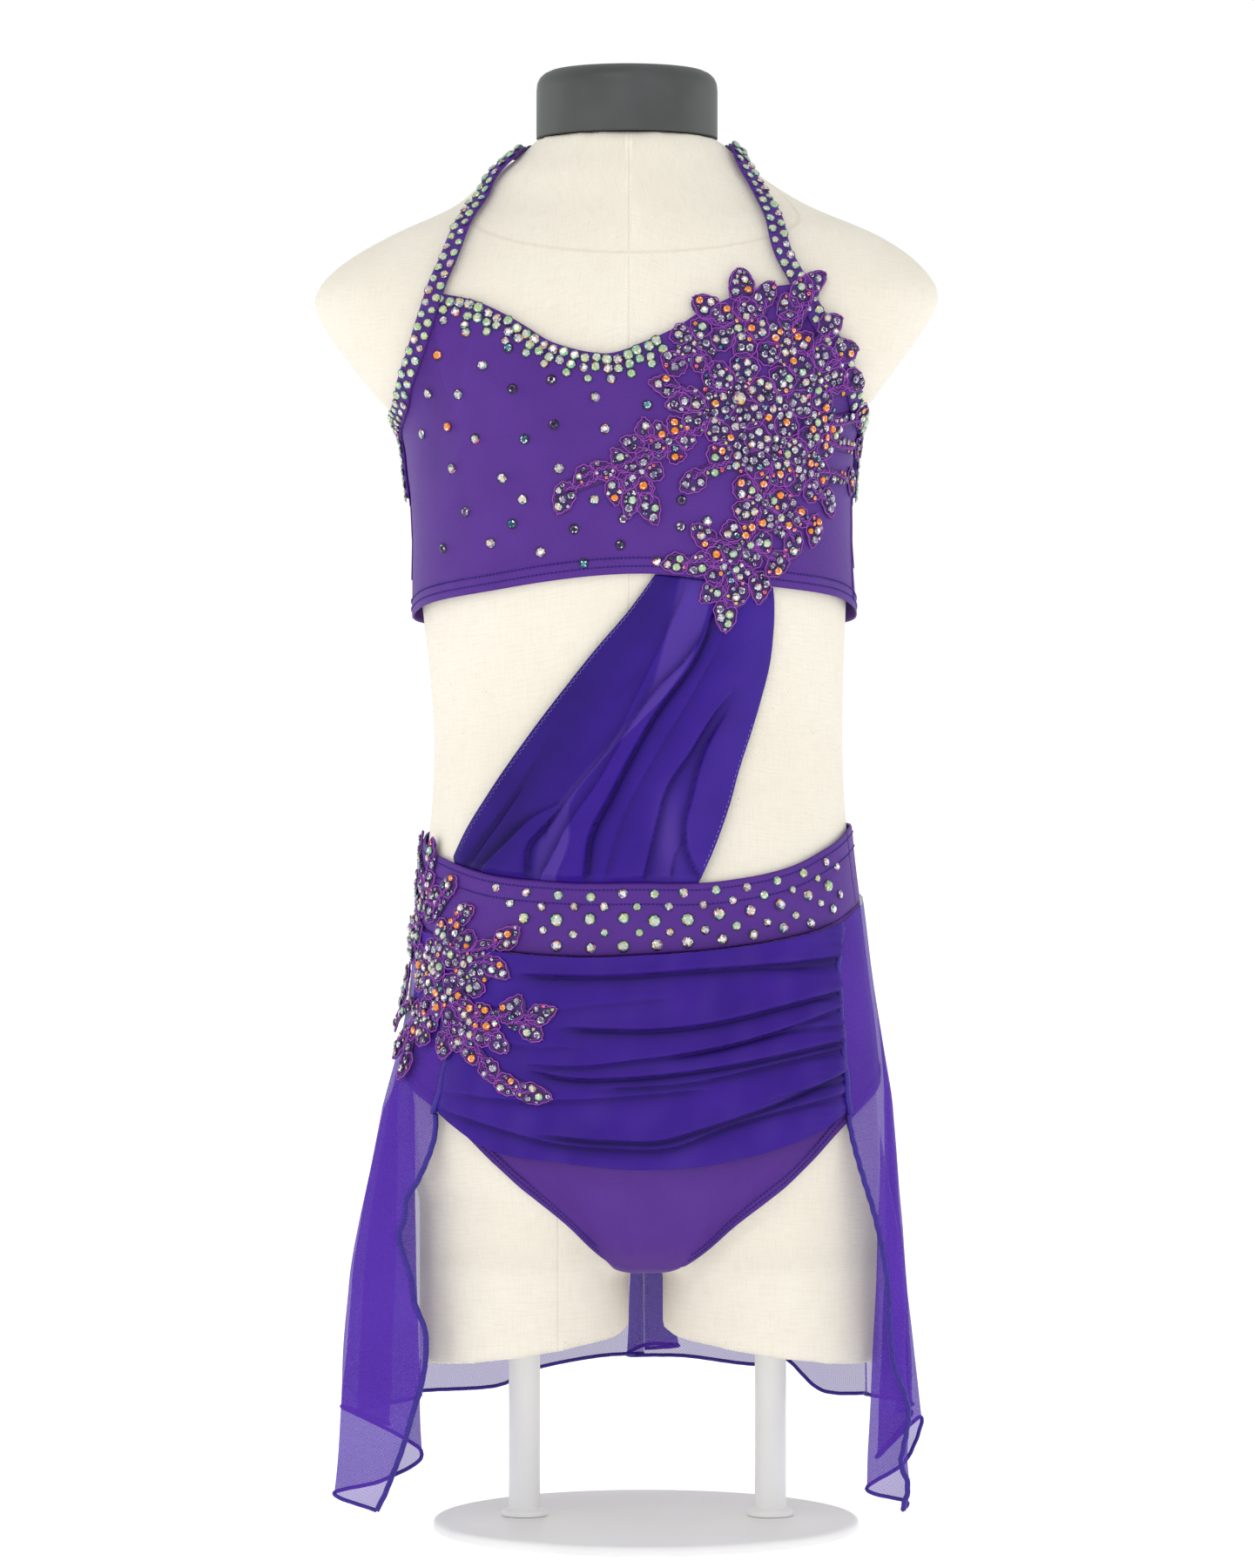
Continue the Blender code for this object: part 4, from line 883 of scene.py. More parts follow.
class Stones:
    """Flat-backed glued crystals, joined in one mesh. Each facet takes one of its kind's tones, some of them
    painted highlights and reflections.
    """

    # The outer facets are painted mostly darker and the inner facets and tops paler, as painted reflections;
    # the glint tone is a painted highlight
    KINDS = {
        # kind: tones of the outer facets, of the inner facets, and of the flat top
        "aurora": (("night", "mint", "pale", "rose", "sea", "gold", "painted_glint", "dusk", "smoke"),
                   ("pale", "painted_glint", "mint", "gold", "dusk", "lilac", "pink"), ("pale", "cream", "painted_glint")),
        "clear": (("smoke", "sage", "mint", "dusk", "mint", "sage"),
                  ("sage", "mint", "cream", "painted_glint", "gold", "sage", "mint"), ("cream", "pale", "sage")),
        "smoky": (("night", "smoke", "night", "dusk", "ash"),
                  ("smoke", "dusk", "painted_glint", "night", "dusk", "pale"), ("smoke", "dusk", "ash")),
        "grey": (("smoke", "dusk", "night", "ash", "pale"),
                 ("dusk", "ash", "painted_glint", "smoke", "pale"), ("ash", "dusk", "pale")),
        "teal": (("night", "teal", "smoke"), ("teal", "sea", "painted_glint", "night"), ("teal", "sea")),
        "dark": (("night", "night", "smoke"), ("smoke", "night", "dusk", "smoke", "painted_glint"), ("night",)),
        "orange": (("rose", "orange", "smoke"), ("orange", "gold", "orange", "painted_glint"), ("orange",)),
        "rose": (("rose", "night", "wine"), ("pink", "rose", "painted_glint", "rose"), ("rose", "pink")),
        "lime": (("teal", "lime", "smoke"), ("lime", "gold", "painted_glint", "mint"), ("lime",)),
    }
    # glint and pale are painted highlights and reflections; the dark tones on the outer facets of clear and
    # aurora stones are painted darker reflections; the other tones are the crystals' tints and coatings, and
    # the glue
    TONES = {
        "pale": (0.60, 0.61, 0.64), "cream": (0.68, 0.64, 0.48), "painted_glint": (0.92, 0.92, 0.94),
        "mint": (0.22, 0.56, 0.36), "sage": (0.42, 0.58, 0.34), "pink": (0.68, 0.20, 0.36),
        "lilac": (0.30, 0.22, 0.52), "gold": (0.80, 0.52, 0.14), "ash": (0.32, 0.28, 0.40),
        "dusk": (0.155, 0.120, 0.240), "smoke": (0.070, 0.050, 0.130), "night": (0.018, 0.012, 0.045),
        "teal": (0.018, 0.075, 0.110), "sea": (0.06, 0.30, 0.42), "orange": (0.88, 0.24, 0.018),
        "rose": (0.66, 0.050, 0.100), "wine": (0.20, 0.012, 0.050), "lime": (0.48, 0.56, 0.06),
        "glue": (0.024, 0.010, 0.065),
    }
    RINGS = (
        # share of the radius, height, turn in facets: glue, girdle, crown and flat top
        (1.17, 0.0, 0.0), (1.0, 0.14, 0.0), (0.80, 0.36, 0.5), (0.46, 0.52, 0.0),
    )

    def __init__(self, random):
        self.random = random
        self.names = list(self.TONES)
        self.points = []
        self.faces = []
        self.tones = []
        self.count = 0

    def add(self, at, normal, radius, kind, height=0.5):
        """One stone lying on a point, facing along the normal."""
        normal = normal / np.linalg.norm(normal) + self.random.normal(0, 0.09, 3)
        normal /= np.linalg.norm(normal)
        side = np.cross(normal, (0.3, 0.2, 0.93) if abs(normal[2]) < 0.8 else (1.0, 0.1, 0.1))
        side /= np.linalg.norm(side)
        other = np.cross(normal, side)
        spin = self.random.uniform(0, 2 * math.pi)
        sides = 8 if radius > 1.7 else 6
        for share, lift, shift in self.RINGS:
            angles = spin + (np.arange(sides) + shift) * 2 * math.pi / sides
            ring = np.cos(angles)[:, None] * side + np.sin(angles)[:, None] * other
            self.points.append(at + radius * share * ring + normal * radius * lift * 2 * height)
        outer, inner, top = self.KINDS[kind]
        rings = [self.count + r * sides for r in range(4)]

        def tone(choices):
            return self.names.index(choices[int(self.random.integers(len(choices)))])

        for k in range(sides):
            n = (k + 1) % sides
            self.faces.append((rings[0] + k, rings[0] + n, rings[1] + n, rings[1] + k))
            self.faces.append((rings[1] + k, rings[1] + n, rings[2] + k))
            self.faces.append((rings[1] + n, rings[2] + n, rings[2] + k))
            self.faces.append((rings[2] + k, rings[2] + n, rings[3] + n))
            self.faces.append((rings[2] + k, rings[3] + n, rings[3] + k))
            self.tones += [self.names.index("glue"), tone(outer), tone(outer), tone(inner), tone(inner)]
        self.faces.append(tuple(rings[3] + k for k in range(sides)))
        self.tones.append(tone(top))
        self.count += 4 * sides

    def finish(self, name, gems, slot):
        """Makes one piece of all the stones."""
        mesh = build_mesh(name, np.concatenate(self.points), self.faces,
                          [gems[tone] for tone in self.names], indices=self.tones)
        finish_piece(name, mesh)


# Surfaces of the worn cloths, as functions of turn and height


def soft_lines(u, z, table):
    """Ridges (rise above zero) and troughs along short slanting lines, fading at their ends."""
    total = np.zeros(np.broadcast(u, z).shape)
    for u0, z0, u1, z1, rise, width in table:
        run_u, run_z = u1 - u0, z1 - z0
        length = math.hypot(run_u, run_z)
        t = ((u - u0) * run_u + (z - z0) * run_z) / length**2
        away = (-(u - u0) * run_z + (z - z0) * run_u) / length
        over = np.where(t < 0, -t, np.where(t > 1, t - 1, 0)) * length / (2 * width)
        end = 0.5 - 0.5 * np.cos(np.clip(t, 0, 1) * 2 * math.pi)
        total = total + rise * np.exp(-((away / width) ** 2)) * np.sqrt(end) * np.exp(-(over**2))
    return total


def ripple(u, v, seed, size):
    """A few crossed waves: the small unevenness of worn cloth, from -1 to 1."""
    random = np.random.default_rng(seed)
    total = np.zeros(np.broadcast(u, v).shape)
    for _ in range(7):
        angle, phase = random.uniform(0, math.pi), random.uniform(0, 2 * math.pi)
        wave = 2 * math.pi / (size * random.uniform(0.7, 1.8))
        total = total + np.sin((u * math.cos(angle) + v * math.sin(angle)) * wave + phase)
    return total / 4


TOP_CREASES = (
    # from_arc, from_height, to_arc, to_height, rise, width
    (-118, 548, -72, 560, -0.94, 3.0), (-112, 540, -60, 549, 0.81, 3.5), (-120, 570, -84, 590, -0.81, 3.5),
    (-106, 600, -84, 640, 0.68, 4.0), (-60, 552, -20, 556, -0.47, 4.0), (96, 560, 122, 552, -0.81, 3.0),
    (90, 548, 118, 540, 0.68, 3.5), (-30, 640, -4, 600, -0.54, 6.0), (30, 560, 70, 548, -0.54, 4.0),
    (-90, 660, -60, 640, 0.54, 5.0), (-100, 685, -92, 640, -0.68, 4.0),
)
BAND_CREASES = (
    (-40, 340, -5, 345, -0.35, 2.5), (-60, 350, -20, 358, 0.3, 3.0), (20, 338, 70, 350, -0.3, 2.5),
    (60, 352, 110, 372, 0.35, 3.0), (92, 364, 128, 384, -0.35, 2.5), (-10, 334, 30, 336, 0.25, 2.0),
)
BRIEF_CREASES = (
    (-90, 225, -40, 175, -1.16, 4.0), (-74, 222, -30, 168, 1.16, 4.5), (76, 215, 40, 172, -1.01, 4.0),
    (92, 222, 60, 190, 1.01, 4.0), (-50, 210, 20, 204, -0.72, 4.0), (0, 196, 60, 206, 0.58, 5.0),
    (-20, 190, -6, 160, -0.72, 3.0), (36, 190, 18, 160, -0.72, 3.0),
)


def top_inside(turn, z):
    """The top hangs a little off the form at its sides, towards the hem."""
    low, high = TOP_STAND_HEIGHTS
    share = np.clip((high - z) / (high - low), 0, 1)
    upper = np.clip((z - 605) / 20, 0, 1)
    return FORM_GAP + TOP_STAND_OFF * share * np.sin(turn) ** 4 + UPPER_EASE * upper


def creased(arc, z, table, seed, size, strength):
    """Height of the soft creases of a cloth and of its small unevenness."""
    return soft_lines(arc, z, table) + strength * ripple(arc, z, seed, size)


def top_off(turn, z):
    """Outer side of the top, with its soft creases."""
    arc = np.where(np.abs(turn) < 1.9, arc_of(np.clip(turn, -2.0, 2.0), z), 160.0)
    relief = creased(arc, z, TOP_CREASES, 11, 38.0, 0.12)
    return top_inside(turn, z) + CLOTH_WALL + np.clip(relief, -0.6, 1.4)


def band_off(turn, z):
    """Outer side of the waistband."""
    arc = arc_of(np.clip(turn, -2.0, 2.0), z)
    relief = creased(arc, z, BAND_CREASES, 12, 30.0, 0.10)
    return FORM_GAP + BAND_WALL + np.clip(relief, -0.4, 0.6)


def brief_off(turn, z):
    """Outer side of the brief."""
    arc = arc_of(np.clip(turn, -2.0, 2.0), np.clip(z, 200, 760))
    relief = creased(arc, z, BRIEF_CREASES, 13, 34.0, 0.12)
    return FORM_GAP + CLOTH_WALL + np.clip(relief, -0.6, 1.2)


def surface(turn, z, off_of):
    """Points and outward directions on a worn cloth."""
    turn, z = np.broadcast_arrays(np.asarray(turn, float), np.asarray(z, float))
    at = on_body(turn, z, off_of(turn, z))
    round_way = on_body(turn + 0.008, z, off_of(turn + 0.008, z)) - at
    up_way = on_body(turn, z + 0.8, off_of(turn, z + 0.8)) - at
    return at, unit(np.cross(round_way, up_way))


def smooth_line(points, count):
    """x and height along a smooth curve through a table's points."""
    at = np.linspace(0, len(points) - 1, count)
    return np.stack([flow(np.arange(len(points)), column(points, k), at) for k in (0, 1)])


# Dress form, cap and stand

FORM_VOXEL = 4.0
NECK_SEAM_HEIGHT = 725.0
NECK_SEAM_SLOPE = 0.74
NECK_SEAM_FRONT = -73.0
CAP_PROFILE = (
    # height, half_width, half_depth
    (796.3, 51.0, 47.5), (796.8, 52.0, 48.5), (824.0, 52.0, 48.5), (828.0, 51.6, 48.1),
    (831.0, 50.2, 46.7), (833.3, 47.8, 44.3), (834.8, 44.6, 41.1), (835.4, 40.0, 36.5),
    (835.5, 26.0, 23.5), (835.5, 4.0, 3.6),
)
CAP_HOLE = (45.5, 819.0)
CAP_HOLE_RADIUS = 1.7
BASE_PROFILE = (
    # height, radius
    (0.0, BASE_RADIUS - 0.8), (0.8, BASE_RADIUS), (3.6, BASE_RADIUS), (4.8, BASE_RADIUS - 0.5),
    (5.6, BASE_RADIUS - 1.6), (5.9, BASE_RADIUS - 3.0), (6.0, BASE_RADIUS - 5.0), (6.0, 20.0),
)
POST_FOOT = ((6.3, 13.0), (8.3, 13.0), (9.3, 12.2), (9.9, 10.5), (10.4, POST_RADIUS))
POST_HEAD = (
    # distance below the thigh cut, radius
    (3.0, POST_RADIUS), (2.2, 11.0), (1.0, 12.0), (0.3, 12.0),
)


def thigh_cut(side, x):
    """Height of the slanted cut across a thigh end, higher on its inner side."""
    centre, half = THIGHS[side][:2]
    inward = 1 if side == "left" else -1
    return THIGH_CUT + THIGH_CUT_RISE * inward * (x - centre) / half


def ellipse(centre_x, centre_y, half_width, front, back, z, count):
    """A level ring with its own depth in front and behind."""
    angles = np.arange(count) * 2 * math.pi / count
    x = centre_x + half_width * np.sin(angles)
    depth = np.where(np.cos(angles) > 0, front, back)
    return np.stack([x, centre_y - depth * np.cos(angles), np.full(count, float(z))], axis=-1)


def closed_rings(rings, start=0):
    """Points and faces of a closed shape through rings."""
    count = len(rings[0])
    faces = []
    for level in range(len(rings) - 1):
        for i in range(count):
            j = (i + 1) % count
            low = level * count + start
            faces.append((low + i, low + j, low + count + j, low + count + i))
    faces.append(tuple(range(start, start + count))[::-1])
    last = start + (len(rings) - 1) * count
    faces.append(tuple(range(last, last + count)))
    return np.concatenate(rings), faces


def make_form(linen):
    """The linen covered torso with its two thigh ends, in one smooth skin."""
    turns = np.arange(180) * 2 * math.pi / 180
    rings = []
    for z in np.concatenate([np.arange(FORM_BOTTOM, 690, 3.0), np.arange(690, 796.1, 1.5), [FORM_TOP]]):
        x, y = torso_xy(turns, float(z))
        inward = 1 - 0.05 * np.clip((205 - z) / 45, 0, 1)
        middle = section(float(z))[0]
        height = np.full(len(turns), float(z))
        rings.append(np.stack([middle + (x - middle) * inward, y * inward, height], axis=-1))
    points, faces = closed_rings(rings)
    for side, (centre, half, front, back) in THIGHS.items():
        rings = []
        for share in np.linspace(0, 1, 30):
            ring = ellipse(centre, 0, half, front, back, 0, 140)
            low = thigh_cut(side, ring[:, 0])
            ring[:, 2] = low + (THIGH_TOP - low) * share
            rings.append(ring)
        more, more_faces = closed_rings(rings, len(points))
        points = np.concatenate([points, more])
        faces += more_faces
    rough = bpy.data.meshes.new("form_parts")
    rough.from_pydata((points * MM).tolist(), [], faces)
    thing = add_object("form_parts", rough)
    remesh = thing.modifiers.new("skin", "REMESH")
    remesh.mode = "VOXEL"
    remesh.voxel_size = FORM_VOXEL * MM
    smooth = thing.modifiers.new("even", "SMOOTH")
    smooth.factor = 0.5
    smooth.iterations = 4
    bpy.context.view_layer.update()
    done = thing.evaluated_get(bpy.context.evaluated_depsgraph_get()).to_mesh()
    places = np.empty(len(done.vertices) * 3)
    done.vertices.foreach_get("co", places)
    places = places.reshape(-1, 3) / MM
    skin = [tuple(face.vertices) for face in done.polygons]
    bpy.data.objects.remove(thing, do_unlink=True)
    cloth, seams = linen_values(places)
    mesh = build_mesh("form_skin", places, skin, [linen], cloth=cloth, extra=seams)
    finish_piece("form_skin", mesh, ("dress_form",))


def linen_values(places):
    """Place on the flat linen of points on the form, and their distance from each sewn seam."""
    x, y, height = places.T
    z = np.clip(height, FORM_BOTTOM, FORM_TOP)
    centre = section(z)[0]
    turn = np.arctan2(x - centre, -y)
    run = np.abs(turn) * np.hypot(x - centre, y)
    heights = np.arange(FORM_BOTTOM, FORM_TOP + 1, 1.0)
    slope = np.gradient(section(heights)[1])
    rise = np.cumsum(np.sqrt(1 + slope**2) - 1)
    v = height + np.abs(np.sin(turn)) * np.interp(z, heights, rise)
    below = np.clip((230 - height) / 10, 0, 1) * 40
    neck = NECK_SEAM_HEIGHT + NECK_SEAM_SLOPE * (y - NECK_SEAM_FRONT) - height
    seams = {"side": np.cos(turn) * MEAN_RADIUS, "middle": x + below,
             "neck": neck / math.hypot(1, NECK_SEAM_SLOPE)}
    return np.stack([run, v], axis=1), seams


def make_cap(plastic):
    """Moulded cap on the neck, with rounded rims and a small hole for a screw."""
    rings = [ellipse(-1, 0, half, depth, depth, z, 96) for z, half, depth in CAP_PROFILE]
    points, faces = closed_rings(rings)
    mesh = build_mesh("cap_shell", points, faces, [plastic])
    cap = finish_piece("cap_shell", mesh, ("neck_cap",))
    t = np.arange(20) * 2 * math.pi / 20
    x, z = CAP_HOLE[0] + CAP_HOLE_RADIUS * np.cos(t), CAP_HOLE[1] + CAP_HOLE_RADIUS * np.sin(t)
    drill, drill_faces = closed_rings([np.stack([x, np.full(20, y), z], axis=-1) for y in (-40.0, -12.0)])
    tool_mesh = bpy.data.meshes.new("drill")
    tool_mesh.from_pydata((drill * MM).tolist(), [], drill_faces)
    tool_mesh.materials.append(plastic)
    tool = add_object("drill", tool_mesh)
    cut = cap.modifiers.new("hole", "BOOLEAN")
    cut.operation = "DIFFERENCE"
    cut.solver = "EXACT"
    cut.object = tool
    done = apply_modifiers(cap)
    bpy.data.objects.remove(tool, do_unlink=True)
    done.set_sharp_from_angle(angle=math.radians(40))


def make_stand(coat):
    """Round base and two posts, with rolled rims and small collars."""
    points, faces = closed_rings([ellipse(BASE_CENTRE_X, 0, r, r, r, z, 128) for z, r in BASE_PROFILE])
    base = build_mesh("stand_plate", points, faces, [coat])
    base.set_sharp_from_angle(angle=math.radians(50))
    finish_piece("stand_plate", base, ("stand_base",))
    for side, (centre, *_) in THIGHS.items():
        rings = [ellipse(centre, POST_Y, radius, radius, radius, z, 40) for z, radius in POST_FOOT]
        for drop, radius in POST_HEAD:
            ring = ellipse(centre, POST_Y, radius, radius, radius, 0, 40)
            ring[:, 2] = thigh_cut(side, ring[:, 0]) - drop
            rings.append(ring)
        points, faces = closed_rings(rings)
        post = build_mesh("post_" + side, points, faces, [coat])
        post.set_sharp_from_angle(angle=math.radians(50))
        finish_piece("post_" + side, post, ("stand_post_" + side,))


# Worn pieces

STITCH_RADIUS = 0.42
STITCH_SHARE = 0.60
STITCH_LIFT = 0.2
TWIN_PITCH = 2.25
SEAM_GAP = 0.3
TOP_TWIN = (4.2, 8.8)
TOP_HEM_WIDTH = 9.5
NECK_HEM_WIDTH = 5.0
BACK_EDGE_TWIN = (-3.0, -6.4)
BACK_EDGE_WIDTH = 7.0
LEG_TWIN = (3.4, 6.4)
LEG_HEM_WIDTH = 7.0


def hem_roll(away, width, rise=0.35):
    """Extra thickness of a turned hem, with a soft step at its inner edge."""
    return rise * np.clip((width - away) / 0.8, 0, 1) - 0.25 * np.exp(-(((away - width) / 0.8) ** 2))


def stitch_row(tubes, points, normals, pitch=TWIN_PITCH, radius=STITCH_RADIUS):
    """A row of machine stitches laid along a path on the cloth."""
    path, outs = resample(points, pitch / 2, normals)
    for i in range(0, len(path) - 1, 2):
        a, b = path[i], path[i + 1]
        reach = (b - a) * STITCH_SHARE
        middle = (a + b) / 2
        out = unit(outs[i])
        line = np.stack([middle - reach * 0.9, middle, middle + reach * 0.9]) + out * STITCH_LIFT
        line[0] -= out * 0.15
        line[2] -= out * 0.15
        tubes.add(line, out, radius, sides=4)


def make_top(spandex, stitches):
    """Front panel with its sweetheart neckline, and the band round the back."""
    parts = (smooth_line(NECKLINE[:LEFT_CORNER + 1], 60),
             smooth_line(NECKLINE[LEFT_CORNER:RIGHT_CORNER + 1], 140)[:, 1:],
             smooth_line(NECKLINE[RIGHT_CORNER:], 60)[:, 1:])
    x, z = from_seen(*np.concatenate(parts, axis=1))
    columns, rows = GRIDS["top_front"]
    side = math.radians(SIDE_SEAM_TURN)
    top_turn = turn_at(x, z)
    top_turn[0], top_turn[-1] = -side, side
    run = np.concatenate([[0], np.cumsum(np.hypot(np.diff(top_turn) * CHEST_RADIUS, np.diff(z)))])
    even = np.linspace(0, run[-1], columns)
    top_turn, z = np.interp(even, run, top_turn), np.interp(even, run, z)
    share = 0.5 * (top_turn + side) / (2 * side) + 0.5 * even / run[-1]
    low_turn = -side + 2 * side * share
    low = band_edge(TOP_HEM, low_turn)
    rise = np.linspace(0, 1, rows)[:, None]
    turn = low_turn + (top_turn - low_turn) * rise
    height = low + (z - low) * rise
    away_high = (1 - rise) * np.hypot((top_turn - low_turn) * CHEST_RADIUS, z - low)
    relief = hem_roll(height - low, TOP_HEM_WIDTH) + hem_roll(away_high, NECK_HEM_WIDTH)
    grid = on_body(turn, height, top_off(turn, height) + relief)
    cloth_piece("top_front_cloth", "top_front", grid, spandex, SPANDEX_WALL)
    for up in TOP_TWIN:
        turns = np.linspace(-side, side, 260)
        at, out = surface(turns, band_edge(TOP_HEM, turns) + up, top_off)
        stitch_row(stitches, at + out * 0.35, out)
    columns, rows = GRIDS["top_back"]
    gap = SEAM_GAP / MEAN_RADIUS
    round_back = np.linspace(side + gap, 2 * math.pi - side - gap, columns)
    off_centre = np.abs(round_back - math.pi)
    low = flow(column(TOP_HEM, 0), column(TOP_HEM, 1), 180 - np.degrees(off_centre))
    high = band_edge(BACK_BAND_TOP, math.pi - off_centre)
    rise = np.linspace(0, 1, rows)[:, None]
    height = low + (high - low) * rise
    turn = np.broadcast_to(round_back, height.shape)
    relief = hem_roll(height - low, TOP_HEM_WIDTH) + hem_roll(high - height, BACK_EDGE_WIDTH)
    relief = relief + 0.2 * ripple(turn * MEAN_RADIUS, height, 21, 34.0)
    grid = on_body(turn, height, top_inside(turn, height) + CLOTH_WALL + relief * 0.8)
    cloth_piece("top_back_cloth", "top_back", grid, spandex, SPANDEX_WALL)
    for edge in (*(low + up for up in TOP_TWIN), *(high + up for up in BACK_EDGE_TWIN)):
        at, out = surface(round_back, edge, lambda t, h: top_inside(t, h) + CLOTH_WALL)
        stitch_row(stitches, at + out * 0.35, out)


STRAP_STONE_PITCH = 3.6
STRAP_STONE_RISE = 1.72
STRAP_STONE_ASIDE = 2.7


def strap_path(front, behind, steps):
    """Turn and height along a strap, from the underarm to the back of the neck."""
    x, z = seen_line(front, OVER_CLOTH)
    turns = list(turn_at(x, z)) + [math.radians(turn) for turn, _ in behind]
    heights = list(z) + column(behind, 1)
    run = run_along(body(np.array(turns), np.array(heights, float)))
    at = np.linspace(0, run[-1], steps)
    return flow(run, turns, at), flow(run, heights, at)


def strap_frame(front, behind, steps):
    """Middle line, outward and sideways directions of a strap."""
    turn, z = strap_path(front, behind, steps)
    inner = on_body(turn, z, STRAP_OFF)
    out = unit(on_body(turn, z, STRAP_OFF + 1) - inner)
    for _ in range(6):
        out[1:-1] = (out[:-2] + 2 * out[1:-1] + out[2:]) / 4
    return inner, out, unit(np.cross(out, np.gradient(inner, axis=0)))


def make_strap(side, front, behind, spandex, stones):
    """Halter binding with two close rows of crystals, set in turn on either side of its middle."""
    columns, rows = GRIDS["strap"]
    inner, out, across = strap_frame(front, behind, rows)
    reach = np.linspace(-1, 1, columns)
    crown = 0.5 + 1.15 * (1 - np.abs(reach) ** 4) + 0.12 * np.cos(reach * 9.0)
    grid = (inner[:, None] + across[:, None] * (reach * STRAP_WIDTH / 2)[None, :, None]
            + out[:, None] * crown[None, :, None])
    cloth_piece("strap_cloth_" + side, "strap_" + side, grid[:, ::-1], spandex, 1.3)
    middle, directions = resample(inner, STRAP_STONE_PITCH, np.concatenate([out, across], axis=1))
    for i, (at, direction) in enumerate(zip(middle, directions)):
        normal, aside = direction[:3], direction[3:]
        place = at + normal * STRAP_STONE_RISE + aside * STRAP_STONE_ASIDE * (1 if i % 2 else -1)
        place = place + aside * stones.random.normal(0, 0.35)
        kind = "clear" if stones.random.random() < 0.7 else "aurora"
        stones.add(place, normal, stones.random.choice([2.5, 2.6, 2.2]), kind)


BAND_TWIN = (4.0, 12.0)
BAND_HEM_WIDTH = 13.0
BAND_STONES = (
    # rise from the middle of the band, start, radius
    (13.5, 0.0, 2.4), (6.6, 9.0, 2.2), (-0.3, 0.0, 3.1), (-7.2, 9.0, 2.2), (-14.0, 0.0, 2.8),
)
BAND_STONE_PITCH = 18.0
BAND_STONE_ARCS = (-118.0, 128.0)
BAND_STONE_START = -70.0


def make_waistband(spandex, stitches, stones):
    """Wide band, front and back, with twin stitches and staggered rows of crystals."""
    seam = math.radians(BAND_SEAM_TURN)
    gap = SEAM_GAP / CHEST_RADIUS
    for node, start, end in (
        ("waistband_front", -seam, seam), ("waistband_back", seam + gap, 2 * math.pi - seam - gap),
    ):
        columns, rows = GRIDS[node]
        turns = np.linspace(start, end, columns)
        wrapped = np.where(turns > math.pi, turns - 2 * math.pi, turns)
        low, high = band_edge(BAND_BOTTOM, wrapped), band_edge(BAND_TOP, wrapped)
        rise = np.linspace(0, 1, rows)[:, None]
        z = low + (high - low) * rise
        turn = np.broadcast_to(turns, z.shape)
        relief = hem_roll(high - z, BAND_HEM_WIDTH, 0.2)
        off = band_off(np.broadcast_to(wrapped, z.shape), z) + relief
        edge = np.minimum(high - z, z - low)
        off = off - 0.5 * np.exp(-((edge / 0.7) ** 2))
        grid = on_body(turn, z, off)
        cloth_piece(node + "_cloth", node, grid, spandex, 1.0)
        for down in BAND_TWIN:
            at, out = surface(turns, high - down, lambda t, h: band_off(t, h) + 0.15)
            stitch_row(stitches, at, out)
    arcs = np.arange(*BAND_STONE_ARCS, BAND_STONE_PITCH / 2)
    for rise, start, radius in BAND_STONES:
        for i, arc in enumerate(arcs):
            if (i % 2 == 0) != (start == 0.0) or arc < BAND_STONE_START - 1.1 * rise:
                continue
            jitter = stones.random.normal(0, 0.5, 2)
            turn = float(turn_of(arc + jitter[0], 350.0))
            middle = float(band_edge(BAND_BOTTOM, turn) + band_edge(BAND_TOP, turn)) / 2
            at, out = surface(turn, middle + rise + jitter[1], band_off)
            kind = stones.random.choice(["aurora", "clear", "aurora"])
            stones.add(at, out, 1.08 * radius * stones.random.uniform(0.92, 1.08), kind)


def leg_line(leg_edge, count, behind):
    """Turns round the brief and the height of its leg edge at each."""
    half = np.radians(np.linspace(0, 89.9, count // 2 + 1))
    turns = np.concatenate([-half[:0:-1], half])
    from_middle = np.minimum(np.degrees(np.abs(turns)), 88)
    shift = 0 if behind else LEG_EDGE_SHIFT
    from_middle = np.abs(from_middle - shift * (turns > 0) + shift * (turns < 0))
    return turns, flow(column(leg_edge, 0), column(leg_edge, 1), from_middle)


